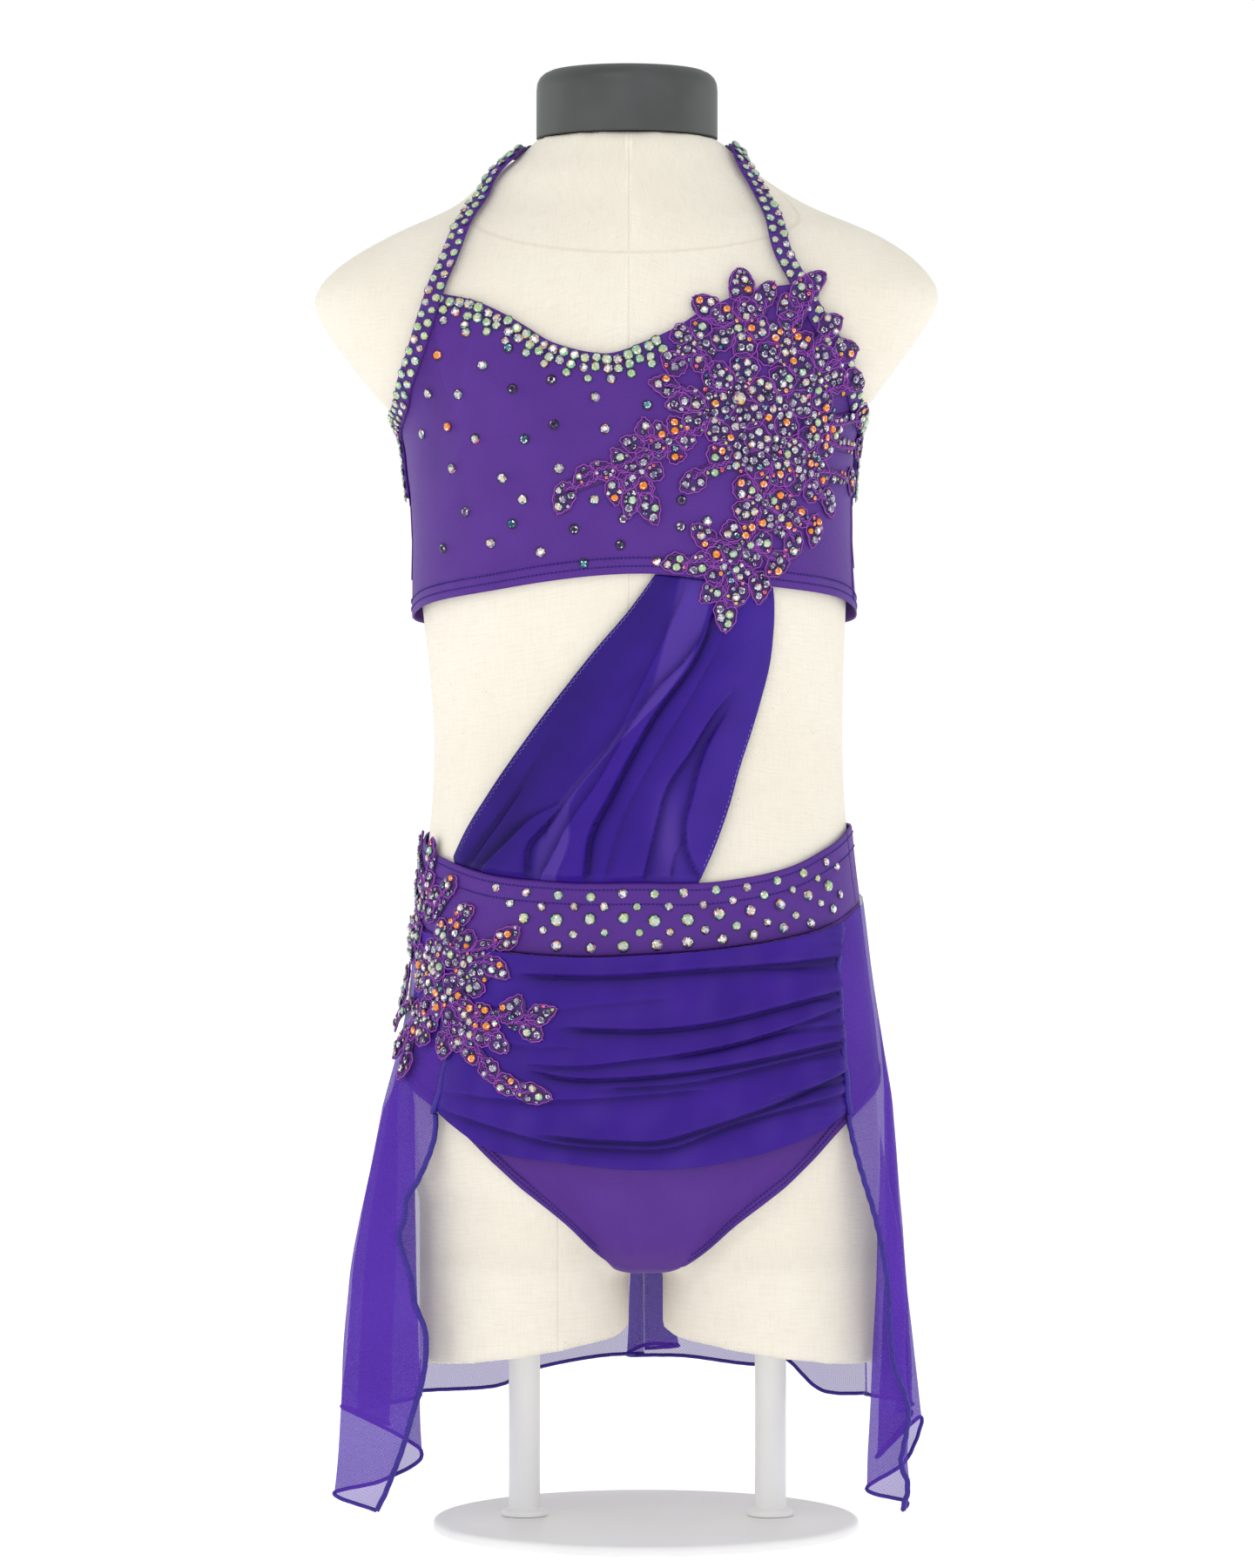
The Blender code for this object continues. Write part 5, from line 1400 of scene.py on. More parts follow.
def make_brief(name, leg_edge, crotch, behind, spandex, stitches):
    """Front or back of the brief, with the strip that runs under the crotch to its seam."""
    columns, rows = GRIDS[name]
    turns, low = leg_line(leg_edge, columns, behind)
    around = turns + (math.pi if behind else 0)
    wrapped = np.where(around > math.pi, around - 2 * math.pi, around)
    high = band_edge(BAND_BOTTOM, wrapped) - 0.3
    rise = np.linspace(0, 1, rows)[:, None] ** 1.3
    z = low + (high - low) * rise
    turn = np.broadcast_to(around, z.shape)
    if behind:
        off = FORM_GAP + CLOTH_WALL + 0.2 * ripple(turn * MEAN_RADIUS, z, 31, 36.0)
    else:
        off = brief_off(turn, z)
    strip = np.abs(np.degrees(turns)) <= CROTCH_TURN
    roll = hem_roll((z - low) * 0.8, LEG_HEM_WIDTH, 0.3) * np.where(strip & (z < low + 12), 0, 1)
    grid = on_body(turn, z, off + roll)
    place = cloth_place(grid)
    points = grid.reshape(-1, 3)
    faces = grid_faces(*grid.shape[:2])
    edge = grid[0][strip]
    across = np.linspace(1, -1, len(edge)) if behind else np.linspace(-1, 1, len(edge))
    lines = [edge]
    for (y, height, half_width), corner in zip(crotch, CROTCH_CORNERS):
        x = CROTCH_X + half_width * across
        rounding = corner * np.abs(across) ** 4
        lines.append(np.stack([x, np.full(x.shape, float(y)), height - CLOTH_WALL + rounding], -1))
    lines = np.array(lines)
    steps = np.linspace(0, len(lines) - 1, 22)
    under = np.array([[flow(np.arange(len(lines)), lines[:, c, k], steps) for k in range(3)]
                      for c in range(len(edge))]).transpose(2, 0, 1)
    start = len(points)
    points = np.concatenate([points, under.reshape(-1, 3)])
    place = np.concatenate([place, cloth_place(under)])
    faces += grid_faces(*under.shape[:2], start, flip=True)
    mesh = build_mesh(name + "_cloth", points, faces, [spandex], cloth=place)
    thicken(finish_piece(name + "_cloth", mesh, (name,)), SPANDEX_WALL)
    off_of = (lambda t, h: FORM_GAP + CLOTH_WALL + 0 * h) if behind else brief_off
    for up in LEG_TWIN:
        for part in (turns < -math.radians(CROTCH_TURN), turns > math.radians(CROTCH_TURN)):
            at, out = surface(around[part], low[part] + up * 1.15, off_of)
            stitch_row(stitches, at + out * 0.3, out)


def thicken(thing, wall):
    """Gives an open sheet a wall behind it."""
    solid = thing.modifiers.new("wall", "SOLIDIFY")
    solid.thickness = wall * MM
    solid.offset = -1.0
    apply_modifiers(thing)


def seam_turn(side, z):
    """Turn of a side seam, where skirt and ruched panel meet."""
    table = SEAM_LEFT if side == "left" else SEAM_RIGHT
    heights = column(table, 0)[::-1]
    return turn_at(np.interp(z, heights, column(table, 1)[::-1]), z)


RUCHED_CREASES = (
    # points of x and height as seen; depth, width
    (((-67, 316.5), (-10, 315.5), (40, 319), (90, 323), (121, 327.5)), 2.3, 4.0),
    (((74, 320), (100, 321.5), (121, 323)), 1.0, 2.2),
    (((-42, 286.5), (-9, 285), (15, 285), (49, 289), (85, 298), (121, 308.5)), 2.4, 4.0),
    (((20, 270), (57, 276.5), (90, 285), (121, 287.5)), 1.2, 2.6),
    (((-62, 265.5), (-26, 264.5), (1, 267.5), (41, 273), (74, 281.5), (121, 299)), 1.7, 3.0),
    (((-60, 263), (-36, 258), (-1, 258), (38, 262), (121, 279.5)), 2.4, 3.8),
    (((-20, 251.5), (38, 255.5), (85, 266), (123, 275.5)), 1.5, 2.8),
    (((-104, 250.5), (-76, 246), (-44, 245), (10, 248), (40, 251)), 1.3, 3.0),
    (((-55, 226.5), (-9, 222.5), (21, 223), (34, 226.5), (74, 240), (124, 263)), 2.4, 4.2),
    (((-109, 241.5), (-76, 230), (-39, 220), (-9, 217.5), (24, 218), (57, 230), (124, 250)), 1.7, 3.0),
    (((-90, 300), (-50, 296), (-20, 299), (20, 303)), 0.7, 4.0),
    (((-86, 280), (-60, 276), (-30, 275)), 0.8, 3.0),
    (((70, 244), (100, 252), (124, 257)), 0.9, 2.4),
)
RUCHED_LINES = [(seen_line(line, 7.0), depth, width) for line, depth, width in RUCHED_CREASES]


def overlapped(away, width):
    """Cross-section of a fold that hangs over the cloth below it: away is height over its edge."""
    over = np.clip(away, 0, None) / width
    above = (1 - np.exp(-over / 0.45)) * np.exp(-over / 2.6)
    below = np.exp(np.clip(away, None, 0) / (1.3 * width))
    step = 0.5 + 0.5 * np.tanh(away / 0.55)
    return 1.2 * above * step - 1.05 * below * (1 - step)


def ruched_off(turn, z):
    """Outer side of the gathered panel: folds fan out from the right seam."""
    x = body(turn, z)[..., 0]
    low = OVER_CLOTH + 0.8
    off = np.full(np.shape(z), OVER_CLOTH + CLOTH_WALL + 2.9)
    for line, depth, width in RUCHED_LINES:
        at = flow(line[0], line[1], x)
        end = np.clip((x - line[0][0]) / 16, 0, 1) * np.clip((line[0][-1] + 6 - x) / 10, 0, 1)
        off = off + 1.2 * depth * end * overlapped(z - at, width)
    pull = np.clip((x - 92) / 24, 0, 1) * 0.35 * np.sin(z * 2 * math.pi / 5.2 + 0.6 * np.sin(z * 0.31))
    off = off + pull + 0.25 * ripple(x, z * 2.2, 42, 46.0)
    seams = np.clip((x + 108) / 10, 0, 1) * np.clip((122 - x) / 8, 0, 1)
    return np.maximum(low + (off - low) * (0.35 + 0.65 * seams), OVER_CLOTH + 0.7)


def ruched_painted_shade(turn, z):
    """Painted shade under the folds of the gathered panel and along their creases."""
    x = body(turn, z)[..., 0]
    total = np.zeros(np.shape(z))
    for line, depth, width in RUCHED_LINES:
        away = z - flow(line[0], line[1], x)
        end = np.clip((x - line[0][0]) / 20, 0, 1) * np.clip((line[0][-1] + 8 - x) / 14, 0, 1)
        total = total + 0.42 * depth * end * np.exp(np.clip(away, None, 0) / (0.75 * width)) * (away < 0)
        total = total + 0.07 * depth * end * np.exp(-((away / (1.1 * width)) ** 2))
    return total


def make_ruched(net):
    """Mesh overlay gathered into both side seams."""
    columns, rows = GRIDS["ruched_front"]
    share = np.linspace(0, 1, columns)
    rise = np.linspace(0, 1, rows)[:, None]
    corners = turn_at(*np.array(RUCHED_BOTTOM, float).T)

    def bottom(turn):
        return flow(corners, column(RUCHED_BOTTOM, 1), turn)

    turn = np.broadcast_to(np.linspace(corners[0], corners[-1], columns), (rows, columns))
    low = bottom(turn[0])
    for _ in range(4):
        high = band_edge(BAND_BOTTOM, turn[-1]) - 0.6
        z = low[None, :] + (high - low)[None, :] * rise
        left = seam_turn("left", z[:, :1]) + SIDE_SEAM_INSET
        right = seam_turn("right", z[:, -1:]) - SIDE_SEAM_INSET
        turn = left + (right - left) * share[None, :]
        low = bottom(turn[0])
    grid = on_body(turn, z, ruched_off(turn, z))
    arc = arc_of(turn, z)
    thin = np.clip(0.1 + 0.3 * ripple(arc, z, 41, 26.0), 0, 1) * 0.25
    # Painted shade under the folds and in their creases
    painted_shade = np.clip(ruched_painted_shade(turn, z), 0, 0.9)
    layers = {"thin": thin.ravel(), "painted_shade": painted_shade.ravel()}
    cloth_piece("ruched_cloth", "ruched_front", grid, net, 0.5, layers)


SASH_FOLDS = (
    # points of x and height as seen, from the top down; rise, width, and the side that is raised
    (((32.5, 540), (20.5, 513), (5.5, 481.5), (-11, 448), (-31, 421.5), (-46, 400)), 1.0, 5.0, 1),
    (((49, 527), (34, 501.5), (15.5, 481.5), (-1, 458), (-17.5, 428), (-32.5, 405), (-50, 372)), 1.5, 3.2, 1),
    (((50, 530), (35.5, 496.5), (15.5, 468), (2.5, 445), (-11, 418), (-21, 398), (-25, 372)), 3.0, 3.6, -1),
    (((52, 510), (36, 478), (14, 440), (-4, 405), (-14, 372)), 0.9, 5.0, -1),
    (((58, 480), (49, 468), (35.5, 445), (22.5, 425), (15.5, 401), (9, 372)), 1.9, 3.6, -1),
    (((56, 470), (44, 448), (35.5, 418), (32, 401.5), (34, 385), (40, 373)), 1.8, 3.0, 1),
    (((-39, 415.5), (-48, 411), (-69.5, 391.5), (-86, 374)), 2.6, 3.0, 1),
    (((-38, 413), (-47, 401.5), (-55, 392), (-58, 373)), 2.2, 2.4, -1),
    (((-60, 424), (-74, 402), (-84, 388), (-93, 374)), 1.1, 2.4, 1),
    (((-46, 452), (-66, 418), (-82, 396), (-96, 376)), 0.8, 5.0, -1),
    (((68, 440), (60, 415), (54, 398), (50, 384)), 0.9, 3.0, -1),
    (((30, 392), (26, 384), (24, 373)), 1.5, 1.8, -1),
)
SASH_LINES = [(*seen_line(line[::-1], 6.0), *values) for line, *values in SASH_FOLDS]
SASH_THIN = (
    # fall, share of the width where the single layer starts and ends
    (0.0, 0.20, 0.50), (0.10, 0.27, 0.52), (0.25, 0.36, 0.54), (0.38, 0.41, 0.50), (0.50, 0.375, 0.43),
    (0.62, 0.325, 0.37), (0.75, 0.28, 0.34), (0.87, 0.28, 0.41), (1.0, 0.32, 0.42),
)
SASH_TOP_HEIGHT = 540.0
SASH_FOOT_HEIGHT = 374.0
SASH_OFF = 4.6
SASH_TOP_OFF = 2.1
SASH_TUCK_OFF = 1.35
SASH_TAIL = 0.02
SASH_SEWN = slice(9, 141)
SASH_RIGHT_SEWN = slice(10, 79)


def fold_distance(x, z, line_x, line_z, side):
    """Distance from a steep fold line towards its raised side, and how far along it still holds."""
    slope = (line_x[-1] - line_x[0]) / (line_z[-1] - line_z[0])
    away = side * (x - flow(line_z, line_x, z)) / math.hypot(1, slope)
    start = np.clip((line_z[-1] + 6 - z) / 22, 0, 1)
    end = np.clip((z - line_z[0] + 7) / 8, 0, 1)
    return away, start * end


def nearer(x):
    """x on the sash of a place as seen, which stands a little nearer than the body."""
    return (x - SEEN_CENTRE[0]) * SASH_NEARNESS + SEEN_CENTRE[0]


def sash_fields(share, fall):
    """Turn, height, distance out, single layer with painted light on its right side, and painted shade of the
    sash.
    """
    falls = column(SASH_EDGES, 0)
    left = flow(falls, column(SASH_EDGES, 1), fall)
    right = flow(falls, column(SASH_EDGES, 2), fall)
    x = nearer(left + (right - left) * share)
    at_hem, at_band = (row[1] + (row[2] - row[1]) * share for row in (SASH_EDGES[0], SASH_EDGES[-1]))
    hem = band_edge(TOP_HEM, turn_at(nearer(at_hem), SASH_TOP_HEIGHT)) - 0.3
    band = band_edge(BAND_TOP, turn_at(nearer(at_band), SASH_FOOT_HEIGHT)) + 0.3
    z = hem + (band - hem) * np.minimum(fall, 1) - 160 * np.clip(fall - 1, 0, 1)
    turn = turn_at(x, z)
    relief = 0.9 * np.sin(math.pi * share) + 1.0 * np.exp(-(((share - 0.80) / 0.14) ** 2))
    # Painted shade: darker over the left part of the sash, and in the valley beside each fold
    painted_shade = 0.42 * np.clip((0.34 - share) / 0.20, 0, 1)
    for line_x, line_z, rise, width, side in SASH_LINES:
        away, hold = fold_distance(x, z, line_x, line_z, side)
        relief = relief + 1.25 * rise * hold * overlapped(away, width)
        # Painted shade in the valley on the lowered side of the fold
        valley = np.exp(-np.clip(-away, 0, None) / (0.9 * width)) * (away < 0)
        painted_shade = painted_shade + 0.38 * rise * hold * np.clip(valley, 0, 1)
    gathers = 0.5 * np.sin(2 * math.pi * (7 * share + 0.35 * np.sin(9 * share))) * np.clip(fall, 0, 1) ** 6
    off = SASH_OFF + relief + gathers + 0.2 * ripple(share * 120, fall * 170, 51, 24.0)
    edge = np.minimum(share, 1 - share)
    off = off - 0.8 * np.exp(-edge / 0.02)
    off = np.maximum(off, FORM_GAP + 0.9)
    tuck = np.clip((1.0 - fall) / 0.020, 0, 1) ** 0.7
    off = SASH_TUCK_OFF + (off - SASH_TUCK_OFF) * tuck
    start = np.clip(fall / 0.045, 0, 1) ** 0.6
    off = SASH_TOP_OFF + (off - SASH_TOP_OFF) * start
    painted_shade = np.clip(painted_shade, 0, 0.92)
    starts = flow(column(SASH_THIN, 0), column(SASH_THIN, 1), fall)
    ends = flow(column(SASH_THIN, 0), column(SASH_THIN, 2), fall)
    inside = np.clip((share - starts) / 0.02, 0, 1) * np.clip((ends - share) / 0.006, 0, 1)
    # A round lighter patch near the middle, and painted light on the right side, are added to the single
    # layer value
    patch = np.exp(-(((x - 22) / 7) ** 2 + ((z - 400) / 22) ** 2)) * 0.5
    lit = 0.14 * np.clip((share - 0.68) / 0.2, 0, 1)
    thin = np.clip(0.45 * inside + patch + lit, 0, 1) * (1 - painted_shade)
    return turn, z, off, thin, painted_shade


def make_sash(net, pale):
    """Mesh drape from under the top's hem across the midriff, tucked behind the waistband."""
    columns, rows = GRIDS["sash"]
    share = np.linspace(0, 1, columns)[None, :]
    fall = np.linspace(1 + SASH_TAIL, 0, rows)[:, None]
    turn, z, off, thin, painted_shade = sash_fields(share * np.ones_like(fall), fall * np.ones_like(share))
    grid = on_body(turn, z, off)
    # Layer values: a single layer with painted light on the right, and painted shade in the valleys and on
    # the left part
    layers = {"thin": thin.ravel(), "painted_shade": painted_shade.ravel()}
    cloth_piece("sash_cloth", "sash", grid, net, 0.6, layers)
    normals = grid_normals(grid)
    path, outs = resample(grid[SASH_SEWN, 2], 1.5, normals[SASH_SEWN, 2])
    inward = resample(grid[SASH_SEWN, 6], 1.5)
    count = min(len(path), len(inward))
    wave = np.array([path[i] + (inward[i] - path[i]) * (0.0 if i % 2 else 0.5) + outs[i] * 0.25
                     for i in range(count)])
    pale.add(wave, outs[:count], 0.13, sides=4)
    stitch_row(pale, grid[SASH_RIGHT_SEWN, -3], normals[SASH_RIGHT_SEWN, -3], pitch=3.0, radius=0.2)


def rib_points(rib, side, first, lower_rows):
    """Points down one fold line of the skirt."""
    top_turn, hip_x, hip_y, mid_x, mid_y, hem_x, hem_y, hem_z = rib
    top_z = float(band_edge(BAND_BOTTOM, math.radians(top_turn))) - 0.3
    upper = np.linspace(top_z, HIP_HEIGHT, HIP_ROWS + 1)[:-1]
    lower = np.linspace(HIP_HEIGHT, hem_z, lower_rows)
    inset = SIDE_SEAM_INSET * (1 if side == "right" else -1)
    if first:
        hip_x, hip_y, _ = on_body(seam_turn(side, HIP_HEIGHT) + inset, HIP_HEIGHT, SKIRT_OFF)
        on_hip = on_body(seam_turn(side, upper) + inset, upper, SKIRT_OFF)
    else:
        hip_turn = math.atan2(hip_x - float(section(HIP_HEIGHT)[0]), -hip_y)
        if abs(hip_turn - math.radians(top_turn)) > math.pi:
            hip_turn += math.copysign(2 * math.pi, top_turn)
        share = (top_z - upper) / (top_z - HIP_HEIGHT)
        turn = math.radians(top_turn) + (hip_turn - math.radians(top_turn)) * share
        under = on_body(hip_turn, OVER_THIGHS, SKIRT_OFF)
        stand = np.array([hip_x - under[0], hip_y - under[1], 0.0])
        on_hip = on_body(turn, np.maximum(upper, OVER_THIGHS), SKIRT_OFF) + stand * (share**3)[:, None]
        on_hip[:, 2] = upper
    heights = (hem_z, (hem_z + MID_HEIGHT) / 2, MID_HEIGHT, HIP_HEIGHT)
    x = flow(heights, (hem_x, (hem_x + mid_x) / 2, mid_x, hip_x), lower)
    y = flow(heights, (hem_y, (hem_y + mid_y) / 2, mid_y, hip_y), lower)
    if first:
        sway = EDGE_SWAY_LEFT if side == "left" else EDGE_SWAY_RIGHT
        x = x + flow(column(sway, 0), column(sway, 1), lower)
    return np.concatenate([on_hip, np.stack([x, y, lower], axis=-1)])


def make_skirt(side, ribs, net, cords):
    """Sheer open-front skirt on one side, from its side seam to the centre back."""
    columns, rows = GRIDS["skirt"]
    lines = np.array([rib_points(rib, side, i == 0, rows) for i, rib in enumerate(ribs)])
    grid = flow_grid(lines, np.linspace(0, len(ribs) - 1, columns))
    normal = grid_normals(grid) * (1.0 if side == "left" else -1.0)
    down = np.linspace(0, 1, grid.shape[0])[:, None]
    across = np.linspace(0, 1, grid.shape[1])[None, :]
    wave = 0.5 * ripple(across * 420, down * 300, 61 if side == "left" else 62, 46.0) * down
    pinned = np.clip(across / 0.03, 0, 1) * np.clip((1 - across) / 0.03, 0, 1)
    grid = grid + normal * (wave * pinned)[..., None]
    cloth_piece("skirt_cloth_" + side, "skirt_" + side, grid, net, 0.0)
    front = (grid[HIP_ROWS + 1:, 0], normal[HIP_ROWS + 1:, 0], FRONT_EDGE_RADIUS, 0.9)
    hem = (grid[-1], normal[-1], HEM_EDGE_RADIUS, 0.8)
    for path, out, radius, beat in (front, hem):
        path, out = resample(path, 1.2, out)
        wobble = 0.25 * np.sin(np.arange(len(path)) * beat)[:, None] * out
        cords.add(path + wobble, out, radius, sides=7)
    seam, seam_out = resample(grid[:HIP_ROWS + 2, 0], 1.2, normal[:HIP_ROWS + 2, 0])
    sway = 0.5 * np.sin(np.arange(len(seam)) * 0.33)[:, None] * np.cross(seam_out, (0, 0, 1.0))
    cords.add(seam + sway + seam_out * 1.4, seam_out, SEAM_CORD_RADIUS, sides=8)


def flow_grid(lines, spread):
    """A smooth sheet through lines that all have the same rows."""
    slopes = np.gradient(lines, axis=0)
    i = np.clip(spread.astype(int), 0, len(lines) - 2)
    t = (spread - i)[:, None, None]
    a, b = lines[i], lines[i + 1]
    start, end = slopes[i], slopes[i + 1]
    rise = b - a
    sheet = a + t * (start + t * (3 * rise - 2 * start - end + t * (start + end - 2 * rise)))
    return sheet.transpose(1, 0, 2)


# Corded lace: leaves, flowers and stems of each motif, as seen

VINE_RADIUS = 4.0
PETALS = 5
LACE_CELL = 1.6
LACE_LIFT = 0.35
LACE_CORD_RADIUS = 0.42
LACE_INNER_RADIUS = 0.34
LEAF_STEPS = 44
BUST_LEAVES = (
    # x, height, angle, length, width
    (-37, 591, 250, 19, 12), (-26, 603, 225, 15, 10), (-15, 607, 150, 15, 10),
    (-5, 613, 120, 15, 10), (2, 622, 170, 14, 10), (-8, 595, 265, 16, 10),
    (1, 588, 255, 17, 10), (12, 585, 285, 19, 12), (9, 630, 100, 13, 10),
    (20, 655, 160, 17, 12), (25, 668, 130, 17, 12), (28, 645, 200, 15, 11),
    (44, 700, 150, 18, 13), (64, 712, 105, 20, 14), (78, 707, 60, 16, 12),
    (98, 708, 80, 18, 13), (106, 714, 40, 15, 11), (90, 700, 120, 16, 12),
    (114, 690, 30, 17, 12), (122, 676, 10, 18, 12), (126, 660, 340, 17, 12),
    (129, 640, 350, 18, 13), (127, 620, 330, 17, 12), (124, 600, 300, 18, 12),
    (112, 588, 290, 18, 12), (104, 572, 260, 19, 12), (92, 564, 250, 18, 12),
    (83, 553, 235, 18, 12), (73, 540, 265, 18, 12), (60, 536, 245, 18, 12),
    (54, 524, 265, 19, 12), (46, 537, 215, 15, 11), (40, 553, 200, 17, 12),
    (26, 554, 190, 15, 11), (42, 570, 140, 17, 12), (36, 600, 210, 17, 12),
)
BUST_FLOWERS = (
    # x, height, radius
    (6, 606, 13), (24, 624, 13), (46, 640, 17), (38, 678, 15), (62, 688, 17), (88, 680, 17),
    (62, 652, 21), (84, 646, 20), (106, 660, 18), (108, 632, 18), (82, 618, 20),
    (60, 622, 17), (100, 606, 17), (74, 590, 17), (88, 580, 15), (66, 566, 15), (56, 552, 14),
)
BUST_VINES = (
    # from_x, from_height, to_x, to_height
    (-37, 596, -15, 604), (-26, 603, -5, 609), (-5, 609, 24, 618), (2, 600, 6, 600),
    (6, 606, -6, 597), (9, 606, 13, 588), (24, 624, 46, 636), (9, 626, 20, 622),
    (24, 668, 44, 672), (44, 694, 60, 690), (64, 706, 64, 690), (78, 704, 72, 690),
    (98, 702, 90, 686), (104, 708, 94, 690), (114, 686, 100, 672), (120, 672, 106, 664),
    (124, 656, 108, 652), (126, 638, 108, 634), (124, 620, 108, 624), (120, 602, 104, 606),
    (110, 590, 100, 600), (102, 576, 92, 584), (92, 566, 84, 576), (82, 556, 70, 566),
    (72, 545, 62, 556), (60, 540, 56, 552), (54, 530, 56, 546), (46, 540, 54, 548),
    (30, 554, 56, 554), (42, 568, 60, 562), (36, 602, 58, 612), (38, 678, 50, 650),
    (20, 655, 40, 648), (74, 590, 80, 612), (66, 566, 74, 586),
)
BUST_BIG_STONES = (
    # x, height, radius, kind
    (62, 647.5, 4.2, "aurora"),
)
HIP_LEAVES = (
    # x, height, angle, length, width
    (-119, 392, 100, 15, 10), (-110, 388, 70, 15, 10), (-100, 368, 40, 15, 11),
    (-126, 372, 120, 15, 11), (-92, 352, 30, 15, 11), (-68, 338, 40, 18, 12),
    (-72, 320, 320, 17, 11), (-80, 332, 10, 14, 10), (-64, 297, 40, 18, 12),
    (-48, 294, 20, 17, 11), (-53, 284, 320, 14, 11), (-88, 296, 340, 17, 11),
    (-72, 278, 320, 16, 11), (-100, 276, 260, 16, 12), (-86, 272, 290, 15, 11),
    (-76, 262, 300, 15, 11), (-66, 254, 340, 16, 11), (-52, 249, 350, 20, 11),
    (-121, 276, 250, 18, 12), (-117, 264, 260, 16, 10), (-128, 290, 230, 16, 12),
)
HIP_FLOWERS = (
    # x, height, radius
    (-112, 362, 15), (-118, 340, 17), (-98, 336, 16), (-110, 320, 17), (-86, 318, 14),
    (-122, 308, 16), (-98, 302, 15), (-112, 290, 14), (-82, 288, 12), (-88, 282, 12),
)
HIP_VINES = (
    # from_x, from_height, to_x, to_height
    (-118, 388, -113, 370), (-109, 384, -112, 366), (-100, 366, -108, 352),
    (-124, 368, -116, 352), (-92, 352, -98, 342), (-70, 336, -90, 330), (-72, 322, -86, 322),
    (-64, 295, -84, 290), (-50, 293, -64, 289), (-54, 286, -62, 289), (-88, 296, -96, 300),
    (-72, 280, -84, 286), (-100, 278, -96, 290), (-86, 274, -88, 284), (-78, 264, -86, 276),
    (-68, 256, -78, 264), (-54, 250, -68, 256), (-121, 278, -114, 292),
    (-118, 266, -116, 284), (-128, 292, -118, 300),
)


def leaf_field(u, v, leaf_u, leaf_v, angle, length, width):
    """Signed depth inside a pointed leaf, in millimetres."""
    a = math.radians(angle)
    along = (u - leaf_u) * math.cos(a) + (v - leaf_v) * math.sin(a)
    across = -(u - leaf_u) * math.sin(a) + (v - leaf_v) * math.cos(a)
    reach = np.sqrt((along / (length / 2)) ** 2 + (across / (width / 2)) ** 2)
    return (1 - reach) * width / 2


def flower_field(u, v, flower_u, flower_v, radius):
    """Signed depth inside a flower with rounded petals."""
    distance = np.hypot(u - flower_u, v - flower_v)
    around = np.arctan2(v - flower_v, u - flower_u)
    return radius * (0.86 + 0.14 * np.cos(PETALS * around)) - distance


def vine_field(u, v, start_u, start_v, end_u, end_v):
    """Signed depth inside a straight stem with round ends."""
    run_u, run_v = end_u - start_u, end_v - start_v
    t = ((u - start_u) * run_u + (v - start_v) * run_v) / max(run_u**2 + run_v**2, 1e-6)
    t = np.clip(t, 0, 1)
    return VINE_RADIUS - np.hypot(u - start_u - t * run_u, v - start_v - t * run_v)


def over_strap(turn, z):
    """1 on the right strap, falling to 0 beside it."""
    path_turn, path_z = strap_path(STRAP_RIGHT_FRONT, STRAP_RIGHT_BACK, 160)
    path_turn, path_z = path_turn[path_z < 735], path_z[path_z < 735]
    path_arc = arc_of(path_turn, path_z)
    here = arc_of(turn, z)
    nearest = np.full(np.shape(here), 1e3)
    for arc, height in zip(path_arc, path_z):
        nearest = np.minimum(nearest, np.hypot(here - arc, z - height))
    return np.clip((9.5 - nearest) / 3.5, 0, 1)


def bust_base(turn, z):
    """How far out the bust motif lies: on the top and the strap, then on the sash below the hem."""
    on_top = top_off(turn, z) + LACE_LIFT
    on_top = on_top + (STRAP_OFF + BAND_WALL + 0.5 - on_top) * over_strap(turn, z)
    return on_top + (6.6 - on_top) * np.clip((546 - z) / 20, 0, 1)


def hip_base(turn, z):
    """How far out the hip motif lies: on the waistband, then on skirt and ruched panel."""
    degrees = np.degrees(turn)
    below = band_edge(BAND_BOTTOM, turn) - z
    flare = 12.5 * np.clip((-degrees - 54) / 12, 0, 1) * np.clip(below / 91, 0, 1.1) ** 3
    skirt = SKIRT_OFF + 0.5 + flare
    ruched = np.maximum(ruched_off(turn, z) + LACE_LIFT, 6.8)
    past_seam = np.degrees(turn - seam_turn("left", z))
    lower = skirt + (ruched - skirt) * np.clip((past_seam + 3) / 3, 0, 1)
    lower = lower + 1.4 * np.exp(-((past_seam / 2.5) ** 2)) * np.clip(below / 12, 0, 1)
    on_band = band_off(turn, z) + LACE_LIFT
    return on_band + (lower - on_band) * np.clip((below + 3) / 7, 0, 1)


def cut_sheet(field, us, vs):
    """Points and faces of a flat sheet where the field is above zero, cut along its edge."""
    points = []
    index = {}

    def corner(i, j):
        key = (i, j)
        if key not in index:
            index[key] = len(points)
            points.append((us[i], vs[j]))
        return index[key]

    def crossing(a, b):
        key = (min(a, b), max(a, b))
        if key not in index:
            (i, j), (k, m) = key
            fa, fb = field[key[0]], field[key[1]]
            t = min(max(fa / (fa - fb), 0.05), 0.95)
            index[key] = len(points)
            points.append((us[i] + (us[k] - us[i]) * t, vs[j] + (vs[m] - vs[j]) * t))
        return index[key]

    faces = []
    for i in range(len(us) - 1):
        for j in range(len(vs) - 1):
            ring = [(i, j), (i + 1, j), (i + 1, j + 1), (i, j + 1)]
            inside = [field[key] > 0 for key in ring]
            if not any(inside):
                continue
            outline = []
            for k in range(4):
                if inside[k]:
                    outline.append(corner(*ring[k]))
                if inside[k] != inside[(k + 1) % 4]:
                    outline.append(crossing(ring[k], ring[(k + 1) % 4]))
            if len(outline) > 2:
                faces.append(tuple(outline))
    return np.array(points), faces


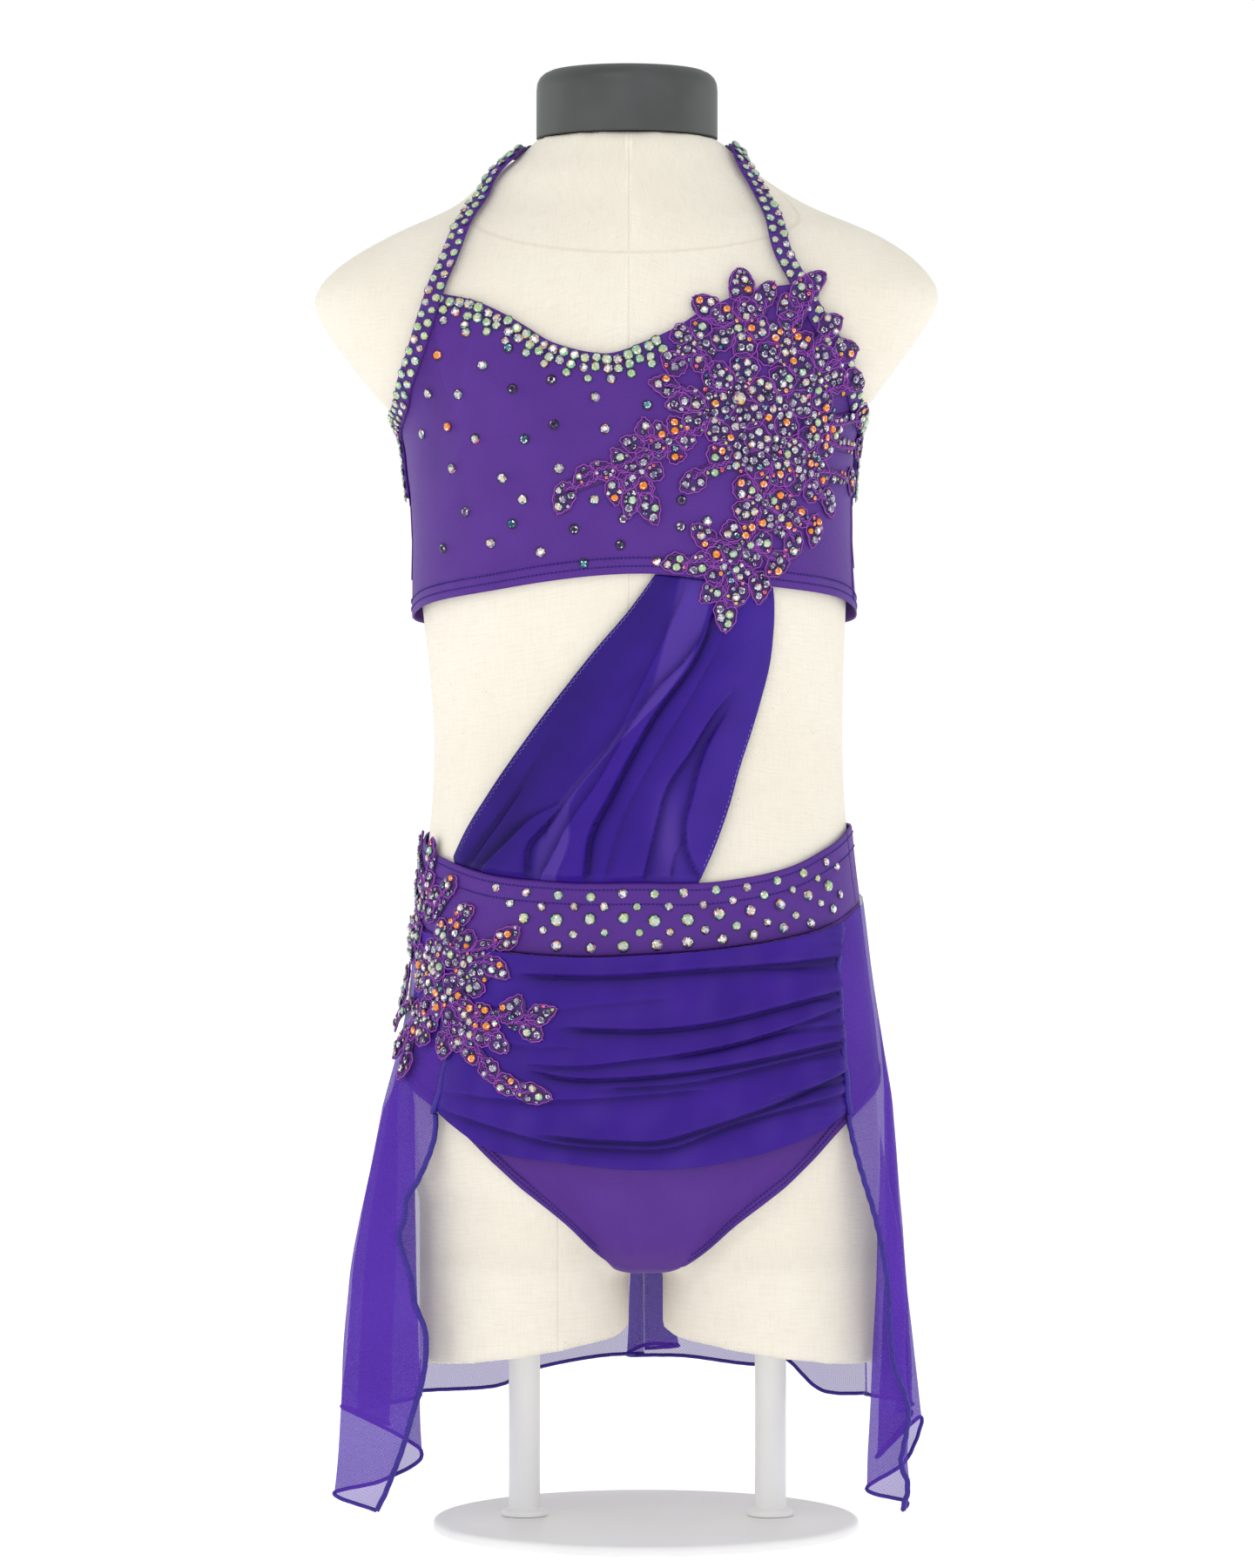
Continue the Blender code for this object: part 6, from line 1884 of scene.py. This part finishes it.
class Lace:
    """One motif of corded lace, laid out flat in length round the body and height."""

    DOME = 1.3
    GROUND = 0.5

    def __init__(self, base):
        self.base = base
        self.parts = []

    def placed(self, x, z):
        """Place on the flat motif of a point as seen."""
        true_x, true_z = from_seen(float(x), float(z), 6.0)
        return float(arc_of(turn_at(true_x, true_z), true_z)), float(true_z)

    def depth(self, u, v):
        """How far inside the motif's edge a place is."""
        total = np.full(np.broadcast(u, v).shape, -50.0)
        for shape, values in self.parts:
            total = np.maximum(total, shape(u, v, *values))
        return total

    def on_cloth(self, u, v, lift):
        """Points on the motif and the direction out of it."""
        turn = turn_of(u, v)
        off = self.base(turn, v) + self.GROUND + self.DOME * np.clip(self.depth(u, v) / 5, 0, 1)
        return on_body(turn, v, off + lift), body_normal(turn, v)

    def cord(self, tubes, u, v, radius, sides, closed=False):
        """A cord sewn down along a line on the flat motif."""
        at, out = self.on_cloth(u, v, radius * 0.6)
        tubes.add(at, out, radius, sides, closed)

    def ground(self, name, material):
        """The net under the cords, cut along the motif's edge."""
        centres = np.array([values[:2] for _, values in self.parts])
        us = np.arange(centres[:, 0].min() - 24, centres[:, 0].max() + 24, LACE_CELL)
        vs = np.arange(centres[:, 1].min() - 24, centres[:, 1].max() + 24, LACE_CELL)
        field = self.depth(*np.meshgrid(us, vs, indexing="ij"))
        field[np.abs(field) < 0.02] = 0.02
        flat, faces = cut_sheet(field, us, vs)
        u, v = flat.T
        at, _ = self.on_cloth(u, v, 0.2 * np.sin(u * 2) * np.sin(v * 2))
        return build_mesh(name, at, faces, [material], cloth=flat)


def leaf_loop(angle, length, width, count, point):
    """Outline of a leaf with a sharp tip and a rounder foot."""
    t = np.linspace(0, 2 * math.pi, count, endpoint=False)
    along = np.cos(t) * length / 2
    across = np.sin(t) * (1 - 0.35 * np.cos(t)) * width / 2 * np.abs(np.sin(t)) ** (1 - point)
    a = math.radians(angle)
    return along * math.cos(a) - across * math.sin(a), along * math.sin(a) + across * math.cos(a)


LACE_STONE_RISE = 0.55
STONE_SIZES = (
    # radius, tries, kinds
    (2.4, 13000, ("aurora", "clear", "aurora", "grey", "smoky", "grey", "orange", "smoky")),
    (1.95, 9000, ("smoky", "grey", "aurora", "smoky", "dark", "grey", "aurora", "teal", "orange",
                  "grey")),
    (1.5, 9000, ("smoky", "grey", "rose", "smoky", "aurora", "dark", "orange", "grey", "teal", "grey")),
    (1.15, 5000, ("smoky", "rose", "grey", "aurora", "dark", "teal", "smoky", "lime")),
)


def lace_petals(flat_leaves, flat_flowers):
    """Leaves and petals of a motif, without those that would lie on one placed before."""
    petals = [(*values, 0.62) for values in flat_leaves]
    for u, v, radius in sorted(flat_flowers, key=lambda flower: -flower[2]):
        for k in range(PETALS):
            a = 2 * math.pi / PETALS * k
            reach = 0.62 * radius
            petal = (u + math.cos(a) * reach, v + math.sin(a) * reach, math.degrees(a) + 180,
                     0.82 * radius, 0.76 * radius, 0.92)
            apart = [math.hypot(petal[0] - p[0], petal[1] - p[1]) / (petal[4] + p[4]) for p in petals]
            if min(apart) > 0.36:
                petals.append(petal)
    return petals


def make_lace(name, node, seed, base, shapes, looks, big=()):
    """Net ground, cords and stones of one motif."""
    leaves, flowers, vines = shapes
    ground, cord, light_cord, gems = looks
    random = np.random.default_rng(seed)
    lace = Lace(base)
    flat_leaves = [(*lace.placed(x, z), angle, length, width) for x, z, angle, length, width in leaves]
    flat_flowers = [(*lace.placed(x, z), radius) for x, z, radius in flowers]
    flat_vines = [(*lace.placed(a, b), *lace.placed(c, d)) for a, b, c, d in vines]
    lace.parts += [(leaf_field, values) for values in flat_leaves]
    lace.parts += [(flower_field, values) for values in flat_flowers]
    lace.parts += [(vine_field, values) for values in flat_vines]
    thicken(finish_piece(name + "_ground", lace.ground(name + "_ground", ground), (node,)), 0.5)
    dark, pale = Tubes(), Tubes()
    stones = Stones(random)
    lines = sew_vines(lace, flat_vines, dark, pale, random)
    lines += sew_petals(lace, lace_petals(flat_leaves, flat_flowers), dark, pale, random)
    glue_stones(lace, np.concatenate(lines), big, stones)
    pale.finish(name + "_cord", light_cord, "lace")
    dark.finish(name + "_inner_cord", cord, "lace")
    stones.finish(name + "_stones", gems, "lace")


def sew_vines(lace, vines, dark, pale, random):
    """Stems of two cords twisted together. Returns the lines that they follow."""
    lines = []
    for u0, v0, u1, v1 in vines:
        length = math.hypot(u1 - u0, v1 - v0)
        count = max(int(length / 0.9), 6)
        t = np.linspace(0, 1, count)
        bend = 1.6 * np.sin(t * math.pi) * random.choice([-1, 1])
        side_u, side_v = -(v1 - v0) / length, (u1 - u0) / length
        for phase in (0.0, math.pi):
            twist = 0.75 * np.sin(t * length * 1.15 + phase) + bend
            lift = 0.35 * np.cos(t * length * 1.15 + phase)
            u = u0 + (u1 - u0) * t + side_u * twist
            v = v0 + (v1 - v0) * t + side_v * twist
            at, out = lace.on_cloth(u, v, 0.75 + lift)
            (pale if phase else dark).add(at, out, LACE_CORD_RADIUS, sides=6)
            lines.append(np.stack([u, v], axis=1))
    return lines


def sew_petals(lace, petals, dark, pale, random):
    """A pale cord round each leaf and petal, and a darker one inside. Returns the lines followed."""
    lines = []
    for u0, v0, angle, length, width, point in petals:
        du, dv = leaf_loop(angle + random.normal(0, 6), length, width, LEAF_STEPS, point)
        step = np.arange(LEAF_STEPS)
        grow = 1 + (0.30 * np.sin(step * 1.43 + random.uniform(0, 6))
                    + 0.25 * np.sin(step * 0.63 + random.uniform(0, 6))) / (width / 2)
        lace.cord(pale, u0 + du * grow, v0 + dv * grow, LACE_CORD_RADIUS, 5, closed=True)
        lines.append(np.stack([u0 + du * grow, v0 + dv * grow], axis=1))
        part = (int(random.integers(LEAF_STEPS)) + step[:LEAF_STEPS * 3 // 4]) % LEAF_STEPS
        inner = grow[part] * (1 - (1.15 + 0.25 * np.sin(np.arange(len(part)) * 0.9)) / (width / 2))
        lace.cord(dark, u0 + du[part] * inner, v0 + dv[part] * inner, LACE_INNER_RADIUS, 4)
    return lines


def glue_stones(lace, line_points, big, stones):
    """The large stones in their places, then crystals from large to small wherever they fit."""
    placed = [(*lace.placed(x, z), radius) for x, z, radius, _ in big]
    for (u, v, radius), (_, _, _, kind) in zip(placed, big):
        at, out = lace.on_cloth(np.array([u]), np.array([v]), 0.35)
        stones.add(at[0], out[0], radius, kind, LACE_STONE_RISE)
    taken = np.array(placed or [(1e6, 1e6, 0.1)])
    tree = KDTree(len(line_points))
    for i, (u, v) in enumerate(line_points):
        tree.insert((u, v, 0.0), i)
    tree.balance()
    centres = np.array([values[:2] for _, values in lace.parts])
    low, high = centres.min(axis=0) - 14, centres.max(axis=0) + 14
    for radius, tries, kinds in STONE_SIZES:
        spots = stones.random.uniform(low, high, (tries * 3, 2))
        inward = lace.depth(spots[:, 0], spots[:, 1])
        spots, inward = spots[inward > radius * 0.75][:tries], inward[inward > radius * 0.75][:tries]
        chosen = []
        for (u, v), depth in zip(spots, inward):
            if tree.find((u, v, 0.0))[2] < radius * (0.98 if depth < 5 else 0.55):
                continue
            if np.any(np.hypot(taken[:, 0] - u, taken[:, 1] - v) < (taken[:, 2] + radius) * 0.98):
                continue
            taken = np.concatenate([taken, [(u, v, radius)]])
            chosen.append((u, v))
        spots = np.array(chosen)
        at, out = lace.on_cloth(spots[:, 0], spots[:, 1], 0.30)
        for place, direction in zip(at, out):
            kind = kinds[int(stones.random.integers(len(kinds)))]
            grown = radius * stones.random.uniform(0.94, 1.06)
            stones.add(place, direction, grown, kind, LACE_STONE_RISE)


NECK_STONES = (
    # distance under the neckline, pitch, start in pitches, radius
    (3.2, 6.4, 0.0, 2.85), (8.9, 6.6, 0.5, 2.7), (14.4, 12.6, 0.25, 2.4),
)
NECK_STONES_END = 22
TOP_STONES = (
    # x, height as seen, kind
    (-13.5, 630, "aurora"), (24, 643, "aurora"), (-39.5, 607.5, "aurora"), (-19.5, 590, "aurora"),
    (44.5, 577.5, "aurora"), (16, 554.5, "aurora"), (-31, 573, "dark"), (-5, 564, "dark"),
    (-3, 579, "smoky"), (30, 589.5, "dark"), (29.5, 574.5, "smoky"), (10.5, 643.5, "teal"),
    (-25.5, 553.5, "teal"), (-92.5, 685, "aurora"), (-68.5, 676, "teal"), (-83, 666.5, "aurora"),
    (-108.5, 672.5, "orange"), (-96.5, 650.5, "aurora"), (-113.5, 651.5, "aurora"),
    (-66, 653, "dark"), (-44, 658, "dark"), (-19, 648, "aurora"), (-42.5, 632.5, "dark"),
    (-102, 632, "orange"), (-116, 628, "aurora"), (-86.5, 624.5, "aurora"), (-59, 624, "teal"),
    (-99.5, 607.5, "aurora"), (-71.5, 602, "aurora"), (-92, 583, "smoky"), (-60, 590, "aurora"),
    (-78, 565, "aurora"), (-104, 562, "dark"), (-50, 560, "aurora"), (-66, 576, "teal"),
)


def scatter_top(stones):
    """Crystals along the neckline and scattered thinly over the top."""
    x, z = from_seen(*smooth_line(NECKLINE[LEFT_CORNER:RIGHT_CORNER + 1], 400))
    line = resample(np.stack([arc_of(turn_at(x, z), z), z], axis=1), 0.6)
    for down, pitch, phase, radius in NECK_STONES:
        for u, v in line[int(phase * pitch / 0.6)::int(pitch / 0.6)]:
            if u > NECK_STONES_END:
                continue
            jitter = stones.random.normal(0, 0.45, 2)
            place_u, place_v = u + jitter[0], v - down + jitter[1]
            at, out = surface(turn_of(place_u, place_v), place_v, top_off)
            kind = stones.random.choice(["clear", "clear", "aurora", "clear", "aurora"])
            stones.add(at + out * 0.3, out, radius * stones.random.uniform(0.92, 1.08), kind)
    for x, z, kind in TOP_STONES:
        seen_x, seen_z = from_seen(float(x), float(z))
        at, out = surface(turn_at(seen_x, seen_z), seen_z, top_off)
        stones.add(at + out * 0.1, out, 2.75, kind)


CAMERA_PLACE = (-0.001, -3.1, 0.4265)
VIEW_HEIGHT = 0.9
LAMPS = (
    # name, place, height of the aim, size, power
    ("side_left", (-1.9, 0.35, 0.75), 0.45, (0.7, 1.2), 2.5),
    ("side_right", (1.9, 0.35, 0.75), 0.45, (0.7, 1.2), 2.5),
    ("key_top", (-0.5, -1.9, 2.1), 0.40, (0.9, 0.6), 6.0),
    ("fill_left", (-1.7, -1.5, 0.9), 0.40, (0.8, 1.2), 1.4),
    ("fill_right", (1.8, -1.5, 0.9), 0.40, (0.8, 1.2), 0.8),
)


def add_light(name, place, aim, size, power):
    """A large soft white lamp aimed at a point, in metres and watts."""
    lamp = bpy.data.lights.new(name, "AREA")
    lamp.shape = "RECTANGLE"
    lamp.size, lamp.size_y = size
    lamp.energy = power
    thing = add_object(name, lamp)
    thing.location = place
    thing.rotation_euler = (Vector(aim) - Vector(place)).to_track_quat("-Z", "Y").to_euler()


def make_studio():
    """Camera, soft lamps, pale surroundings and floor."""
    camera = bpy.data.cameras.new("camera")
    camera.sensor_width = 36
    camera.lens = camera.sensor_width * -CAMERA_PLACE[1] / VIEW_HEIGHT
    thing = add_object("camera", camera)
    thing.location = CAMERA_PLACE
    thing.rotation_euler = (math.radians(90), 0, 0)
    bpy.context.scene.camera = thing
    world = bpy.data.worlds.new("studio")
    world.use_nodes = True
    tree = world.node_tree
    place = tree.nodes.new("ShaderNodeTexCoord")
    split = tree.nodes.new("ShaderNodeSeparateXYZ")
    height = tree.nodes.new("ShaderNodeMapRange")
    for socket, value in (("From Min", 0.16), ("From Max", 0.42), ("To Min", 1.01), ("To Max", 0.80)):
        height.inputs[socket].default_value = value
    tree.links.new(place.outputs["Generated"], split.inputs[0])
    tree.links.new(split.outputs["Z"], height.inputs["Value"])
    tree.links.new(height.outputs["Result"], tree.nodes["Background"].inputs["Strength"])
    tree.nodes["Background"].inputs["Color"].default_value = (1.0, 1.0, 1.0, 1.0)
    bpy.context.scene.world = world
    bpy.context.scene.view_settings.view_transform = "Standard"
    for name, place, aim_height, size, power in LAMPS:
        add_light(name, place, (0, 0, aim_height), size, power)
    floor = bpy.data.meshes.new("floor")
    floor.from_pydata([(-30, -12, 0), (30, -12, 0), (30, 40, 0), (-30, 40, 0)], [], [(0, 1, 2, 3)])
    paint = bpy.data.materials.new("floor")
    paint.use_nodes = True
    for socket, value in (
        ("Base Color", (0.96, 0.96, 0.96, 1.0)), ("Roughness", 0.95), ("Specular IOR Level", 0.1),
        ("Emission Color", (1.0, 1.0, 1.0, 1.0)), ("Emission Strength", 0.42),
    ):
        paint.node_tree.nodes["Principled BSDF"].inputs[socket].default_value = value
    floor.materials.append(paint)
    thing = add_object("floor", floor)
    thing.location.z = -0.0005


def main():
    """Makes the studio, the form, the costume and its trimmings."""
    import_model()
    make_studio()
    spandex = make_spandex()
    sheer = make_net()
    threads = {name: make_thread(name, *values) for name, values in THREADS.items()}
    gems = {name: make_gem(name, tone) for name, tone in Stones.TONES.items()}
    make_form(make_linen())
    make_cap(make_plastic())
    make_stand(make_powder_coat())
    stitches, pale, cords = Tubes(), Tubes(), Tubes()
    stones = Stones(np.random.default_rng(RANDOM_SEED))
    make_top(spandex, stitches)
    make_strap("left", STRAP_LEFT_FRONT, STRAP_LEFT_BACK, spandex, stones)
    make_strap("right", STRAP_RIGHT_FRONT, STRAP_RIGHT_BACK, spandex, stones)
    make_waistband(spandex, stitches, stones)
    make_ruched(make_layered_net("layered_net", *LAYERED_NET))
    make_brief("brief_front", LEG_EDGE_FRONT, CROTCH_PATH, False, spandex, stitches)
    make_brief("brief_back", LEG_EDGE_BACK, CROTCH_BACK_PATH, True, spandex, stitches)
    make_sash(make_layered_net("draped_net", *DRAPED_NET), pale)
    make_skirt("left", SKIRT_RIBS_LEFT, sheer, cords)
    make_skirt("right", SKIRT_RIBS_RIGHT, sheer, cords)
    scatter_top(stones)
    looks = (make_lace_net(), threads["lace_inner_cord"], threads["lace_cord"], gems)
    make_lace("bust_lace", "applique_bust", 101, bust_base, (BUST_LEAVES, BUST_FLOWERS, BUST_VINES), looks,
              big=BUST_BIG_STONES)
    make_lace("hip_lace", "applique_hip", 202, hip_base, (HIP_LEAVES, HIP_FLOWERS, HIP_VINES), looks)
    stitches.finish("machine_stitches", threads["stitch_thread"], "spandex")
    pale.finish("sash_stitches", threads["pale_thread"], "mesh")
    cords.finish("overlocked_edges", threads["edge_cord"], "mesh")
    stones.finish("scattered_stones", gems, "spandex")


main()
